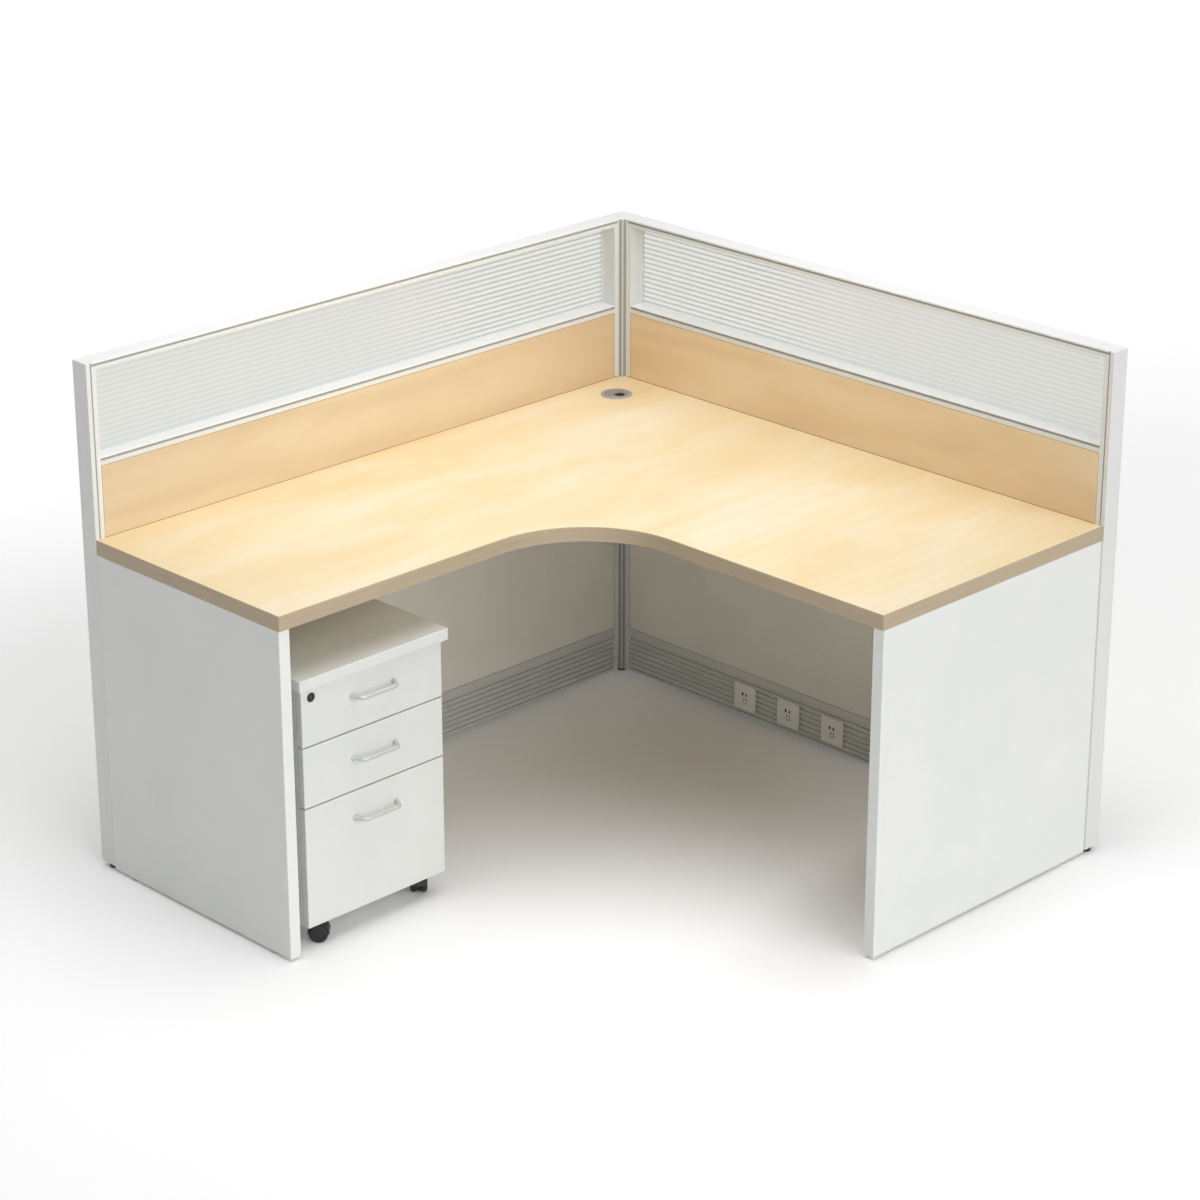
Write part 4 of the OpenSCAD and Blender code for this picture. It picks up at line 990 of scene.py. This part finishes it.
# %% [markdown]
# ## The cable grommet
# A sleeve with a thin domed flange sits in the worktop, and a flat cap turns in it. The
# cap's cable hole is off its middle, so the cap can't be turned on a lathe: its rings run
# up the outer circle, across the top and down the hole's circle.

# %% Grommet sleeve
low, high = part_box("grommet_sleeve")
x, y, top = (low.x + high.x) / 2, (low.y + high.y) / 2, high.z
bore, barrel, flange, foot = 0.0252, 0.0297, 0.036, low.z - top
profile = [(bore, foot), (barrel, foot), (barrel, -0.0026), (flange, -0.0025),
           (flange, -0.0012), (0.0345, 0.0), (0.0274, 0.0), (0.0272, -0.002), (bore, -0.002)]
piece("grommet_sleeve_turned", [turned(profile, (x, y, top), up, 0.0004, 96)], grommet_abs,
      "root", ["grommet_sleeve"])

# %% Grommet cap
low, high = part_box("grommet_cap")
rim, hole, off_middle, edge = float(high.x - low.x) / 2, 0.0125, 0.010, 0.0004
a = np.linspace(0, 2 * math.pi, 96, endpoint=False)
circle = np.stack([np.cos(a), np.sin(a)], 1)
rings = [np.column_stack([radius * circle + [x + shift, y], np.full(len(circle), level)])
         for radius, shift, level in (
             (rim, 0.0, low.z), (rim, 0.0, high.z - edge), (rim - edge, 0.0, high.z),
             (hole + edge, off_middle, high.z), (hole, off_middle, high.z - edge),
             (hole, off_middle, low.z))]
piece("grommet_cap_disc", [skin_grid(np.stack(rings), wrap_rows=True)], cap_abs,
      "grommet_cap", ["grommet_cap"])

# %% [markdown]
# ## Handles
# A bow handle is a bent rod: two legs that lean inwards, two bends and a straight bar, with a
# flare where each foot meets the drawer front. A bevelled curve gives the rod, but not the
# flare. So a circle is carried along that line, and its radius grows towards the feet.

# %% Bent rod
hole_pitch, bow_bend, lean = 0.112, 0.011, math.radians(27)
flare, flare_tall = 0.35, 0.0022


def bow_line(reach):
    """A handle's middle line as (out, across): leg, bend, bar, bend, leg."""
    half, shift = hole_pitch / 2, reach * math.tan(lean)
    corners = np.array([[0.0, -half], [reach, shift - half], [reach, half - shift],
                        [0.0, half]])
    bends = arcs(corners[:-2], corners[1:-1], corners[2:], bow_bend, 12)
    leg = np.linspace(0, 0.55, 9)[:, None]
    return np.concatenate([corners[0] + leg * (bends[0] - corners[0]), bends,
                           corners[3] + leg[::-1] * (bends[-1] - corners[3])])


def bent_rod(line, radius, start):
    """Carries a circle along the line: start + line + r * (cos a * across, sin a), where r is
    radius * (1 + flare * exp(-out / flare_tall)). The first and last circle lie flat."""
    ahead = np.gradient(line, axis=0)
    ahead /= np.linalg.norm(ahead, axis=1, keepdims=True)
    across = np.stack([ahead[:, 1], -ahead[:, 0]], 1)
    across[0], across[-1] = (0, -1), (0, 1)
    r = radius * (1 + flare * np.exp(-line[:, :1] / flare_tall))
    a = np.linspace(0, 2 * math.pi, 24, endpoint=False)
    return skin_grid(np.stack([start[0] + line[:, :1] + r * np.cos(a) * across[:, :1],
                               start[1] + line[:, 1:] + r * np.cos(a) * across[:, 1:],
                               start[2] + r * np.sin(a)], -1))


print("a handle's line has", len(bow_line(0.027)), "points")

# %% Bow handles
head, shank, head_tall, screw_long = 0.004, 0.002, 0.002, 0.0215
screw = [(0, 0), (head, 0), (head, head_tall), (shank, head_tall), (shank, screw_long),
         (0, screw_long)]
for drawer in ("top", "middle", "file"):
    low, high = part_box(f"{drawer}_drawer_handle")
    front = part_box(f"{drawer}_drawer_front")[1].x
    y, z = (low.y + high.y) / 2, (low.z + high.z) / 2
    rod = float(high.z - low.z) / 2
    skins = [bent_rod(bow_line(float(high.x - front) - rod), rod, (front, y, z))]
    skins += [turned(screw, (low.x, y + side * hole_pitch / 2, z), (1, 0, 0), 0.0004, 24)
              for side in (-1, 1)]
    piece(f"{drawer}_bow_handle", skins, handle_metal, f"{drawer}_drawer",
          [f"{drawer}_drawer_handle"])

# %% [markdown]
# ## The lock
# A black enamelled barrel passes through the top front, with a raised rim round the plug and
# its key slot. The barrel is turned anew on the lathe, because the solid's sharp rim catches
# no light. The plug turns with the key and stays as it is.

# %% Lock barrel
low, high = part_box("lock_barrel")
y, z = (low.y + high.y) / 2, (low.z + high.z) / 2
long = float(high.x - low.x)
bore, barrel, rim = 0.00555, 0.008, 0.010
profile = [(bore, 0), (barrel, 0), (barrel, long - 0.0015), (rim, long - 0.0015),
           (rim, long - 0.0007), (0.0090, long), (0.0070, long), (bore, long - 0.0006)]
piece("lock_barrel_turned", [turned(profile, (low.x, y, z), (1, 0, 0), 0.0003, 64)],
      lock_black, "top_drawer", ["lock_barrel"])

# %% [markdown]
# ## Sockets
# Three moulded outlets sit in the back skirting. Each is a plate with slightly rounded
# corners, two upright contact slots, and below them a rounded earth opening, of which the
# plate's own colour fills the middle, so that it reads as a ring. Cut holes would need a
# Boolean and leave ragged faces. The openings are dark boards that stand out of the plate by
# the thickness of a hair.

# %% Socket plates
low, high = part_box("sockets")
count, plate_wide, plate_thick, plate_pitch = 3, 0.066, 0.004, 0.1345
body_inset, mark_deep = 0.008, 0.003
face, tall = float(low.y), float(high.z - low.z)
plates, slots, rings = [], [], []
# Middle across and up as shares of the plate, width, height, how far it stands out, and group
marks = ((0.40, 0.62, 0.0050, 0.0085, 0.0001, slots), (0.57, 0.61, 0.0045, 0.0075, 0.0001, slots),
         (0.52, 0.36, 0.0125, 0.0115, 0.0001, rings), (0.52, 0.36, 0.0085, 0.0075, 0.0002, plates))
for k in range(count):
    left = float(low.x) + k * plate_pitch
    plates.append(board((left, face, low.z), (left + plate_wide, face + plate_thick, high.z),
                        flat_axis=1, edge=0.0009, corner=0.0025))
    plates.append(board((left + body_inset, face + plate_thick, low.z + body_inset),
                        (left + plate_wide - body_inset, high.y, high.z - body_inset),
                        flat_axis=1, edge=0.0008))
    for across, up_share, w, h, proud, group in marks:
        x0 = left + across * plate_wide - w / 2
        z0 = float(low.z) + up_share * tall - h / 2
        group.append(board((x0, face - proud, z0), (x0 + w, face + mark_deep, z0 + h),
                           flat_axis=1, edge=0.0001, corner=0.0018))
piece("socket_plates", plates, socket_abs, "root", ["sockets"])
piece("socket_slots", slots, slot_black, "root")
# The grey ring of each earth opening is painted shade in the opening
piece("socket_earth_rings_painted_shade", rings, seal_tpe_painted_shade, "root")

# %% [markdown]
# ## Pedestal sides
# The two side boards are the same, but the left one has a groove milled down its inner face
# near the front, in which the locking bar slides. A Boolean could cut it, but a groove that
# is drawn in the outline and pushed upwards has clean faces. The right one is a plain board.

# %% Pedestal sides
low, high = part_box("pedestal_sides")
bar_low, bar_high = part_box("locking_bar")
side_thick, bar_gap = 0.016, 0.0003
right_board = board((low.x, high.y - side_thick, low.z), high, flat_axis=1, edge=pressed_edge)
back, front, deep = bar_low.x - bar_gap, bar_high.x + bar_gap, bar_low.y - bar_gap
inside = low.y + side_thick
outline = rounded([(low.x, low.y), (high.x, low.y), (high.x, inside), (front, inside),
                   (front, deep), (back, deep), (back, inside), (low.x, inside)], pressed_edge)
left_board = skin_grid(np.stack([np.column_stack([outline, np.full(len(outline), level)])
                                 for level in (low.z, high.z)]))
piece("pedestal_side_boards", [right_board, left_board], pedestal_board, "pedestal",
      ["pedestal_sides"])

# %% [markdown]
# ## Casters
# Twin-wheel casters: a moulded hood over two wheels on one axle, turning on a steel pivot.
# The wheels are turned, with a rounded tread and a recessed hub. The hood is a thin section
# with rounded rims, carried along an arc about the axle. Measured from a box the places would
# be wrong by the caster's trail, so the frame's joints say where each pivot and axle lies.

# %% Caster wheels
joint_of = {joint["name"]: joint for joint in frame["joints"]}
tyre_r, wheel_start, wheel_end = 0.020, 0.0045, 0.0175
tread_r, rim_r, hub_r = 0.0185, 0.0165, 0.0045
# One wheel as (radius, distance from the caster's middle)
wheel = [(0, wheel_start), (rim_r, wheel_start), (tread_r, wheel_start + 0.001),
         (tyre_r, wheel_start + 0.0035), (tyre_r, wheel_end - 0.0035),
         (tread_r, wheel_end - 0.001), (rim_r, wheel_end), (0.013, wheel_end),
         (0.0125, wheel_end - 0.0015), (hub_r, wheel_end - 0.0015),
         (hub_r, wheel_end - 0.0006), (0, wheel_end - 0.0006)]
axle_pin = [(0, -0.0155), (0.003, -0.0155), (0.003, 0.0155), (0, 0.0155)]


def dress_wheels(place, axle, axis):
    """Two turned wheels, one the mirror of the other, on a pin."""
    skins = [turned([(r, side * d) for r, d in wheel], axle, axis, 0.0008) for side in (-1, 1)]
    skins.append(turned(axle_pin, axle, axis, 0.0003, 24))
    piece(f"caster_pair_{place}", skins, tyre, f"wheels_{place}", [f"caster_wheels_{place}"])


print("wheels", round(2 * tyre_r * 1000), "mm across")

# %% Caster hood
hood_half, web_half = 0.0175, 0.004
# Sections and profiles as (radius, distance from the caster's middle) about the axle
hood = rounded([(0.0208, -hood_half), (0.0226, -hood_half), (0.0226, hood_half),
                (0.0208, hood_half)], 0.0008)
rib = [(0.0175, -web_half), (0.0215, -web_half), (0.0215, web_half), (0.0175, web_half)]
web = [(0.00305, -web_half), (0.018, -web_half), (0.018, web_half), (0.00305, web_half)]


def arched(section, axle, axis, ahead, steps):
    """Carries a section over the axle: axle + radius * (cos a * ahead + sin a * up) + height *
    axis, for a from 0 to 180 degrees."""
    section = np.asarray(section)[None]
    a = np.radians(np.linspace(0, 180, steps))[:, None, None]
    spoke = np.cos(a) * ahead + np.sin(a) * up
    return skin_grid(axle + section[:, :, :1] * spoke + section[:, :, 1:] * axis)


def dress_hood(place, pivot, axle, axis, ahead):
    """Hood, the web between the wheels, and the boss round the pivot."""
    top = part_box(f"caster_fork_{place}")[1].z
    boss = [(0.00405, 0.0408), (0.008, 0.0408), (0.008, top), (0.00405, top)]
    skins = [arched(hood, axle, axis, ahead, 33), turned(web, axle, axis),
             arched(rib, axle, axis, ahead, 25),
             turned(boss, (pivot[0], pivot[1], 0), up, steps=32)]
    piece(f"caster_hood_{place}", skins, nylon, f"caster_{place}", [f"caster_fork_{place}"])


print("hoods", round(2 * hood_half * 1000), "mm wide")

# %% Four casters
for place in ("front_left", "front_right", "rear_left", "rear_right"):
    pivot = np.array(joint_of[f"swivel_{place}"]["pos_m"], float)
    axle = np.array(joint_of[f"roll_{place}"]["pos_m"], float)
    axis = np.array(joint_of[f"roll_{place}"]["axis"], float)
    axis /= np.linalg.norm(axis)
    ahead = (axle - pivot) * [1.0, 1.0, 0.0]
    ahead /= np.linalg.norm(ahead)
    dress_wheels(place, axle, axis)
    dress_hood(place, pivot, axle, axis, ahead)
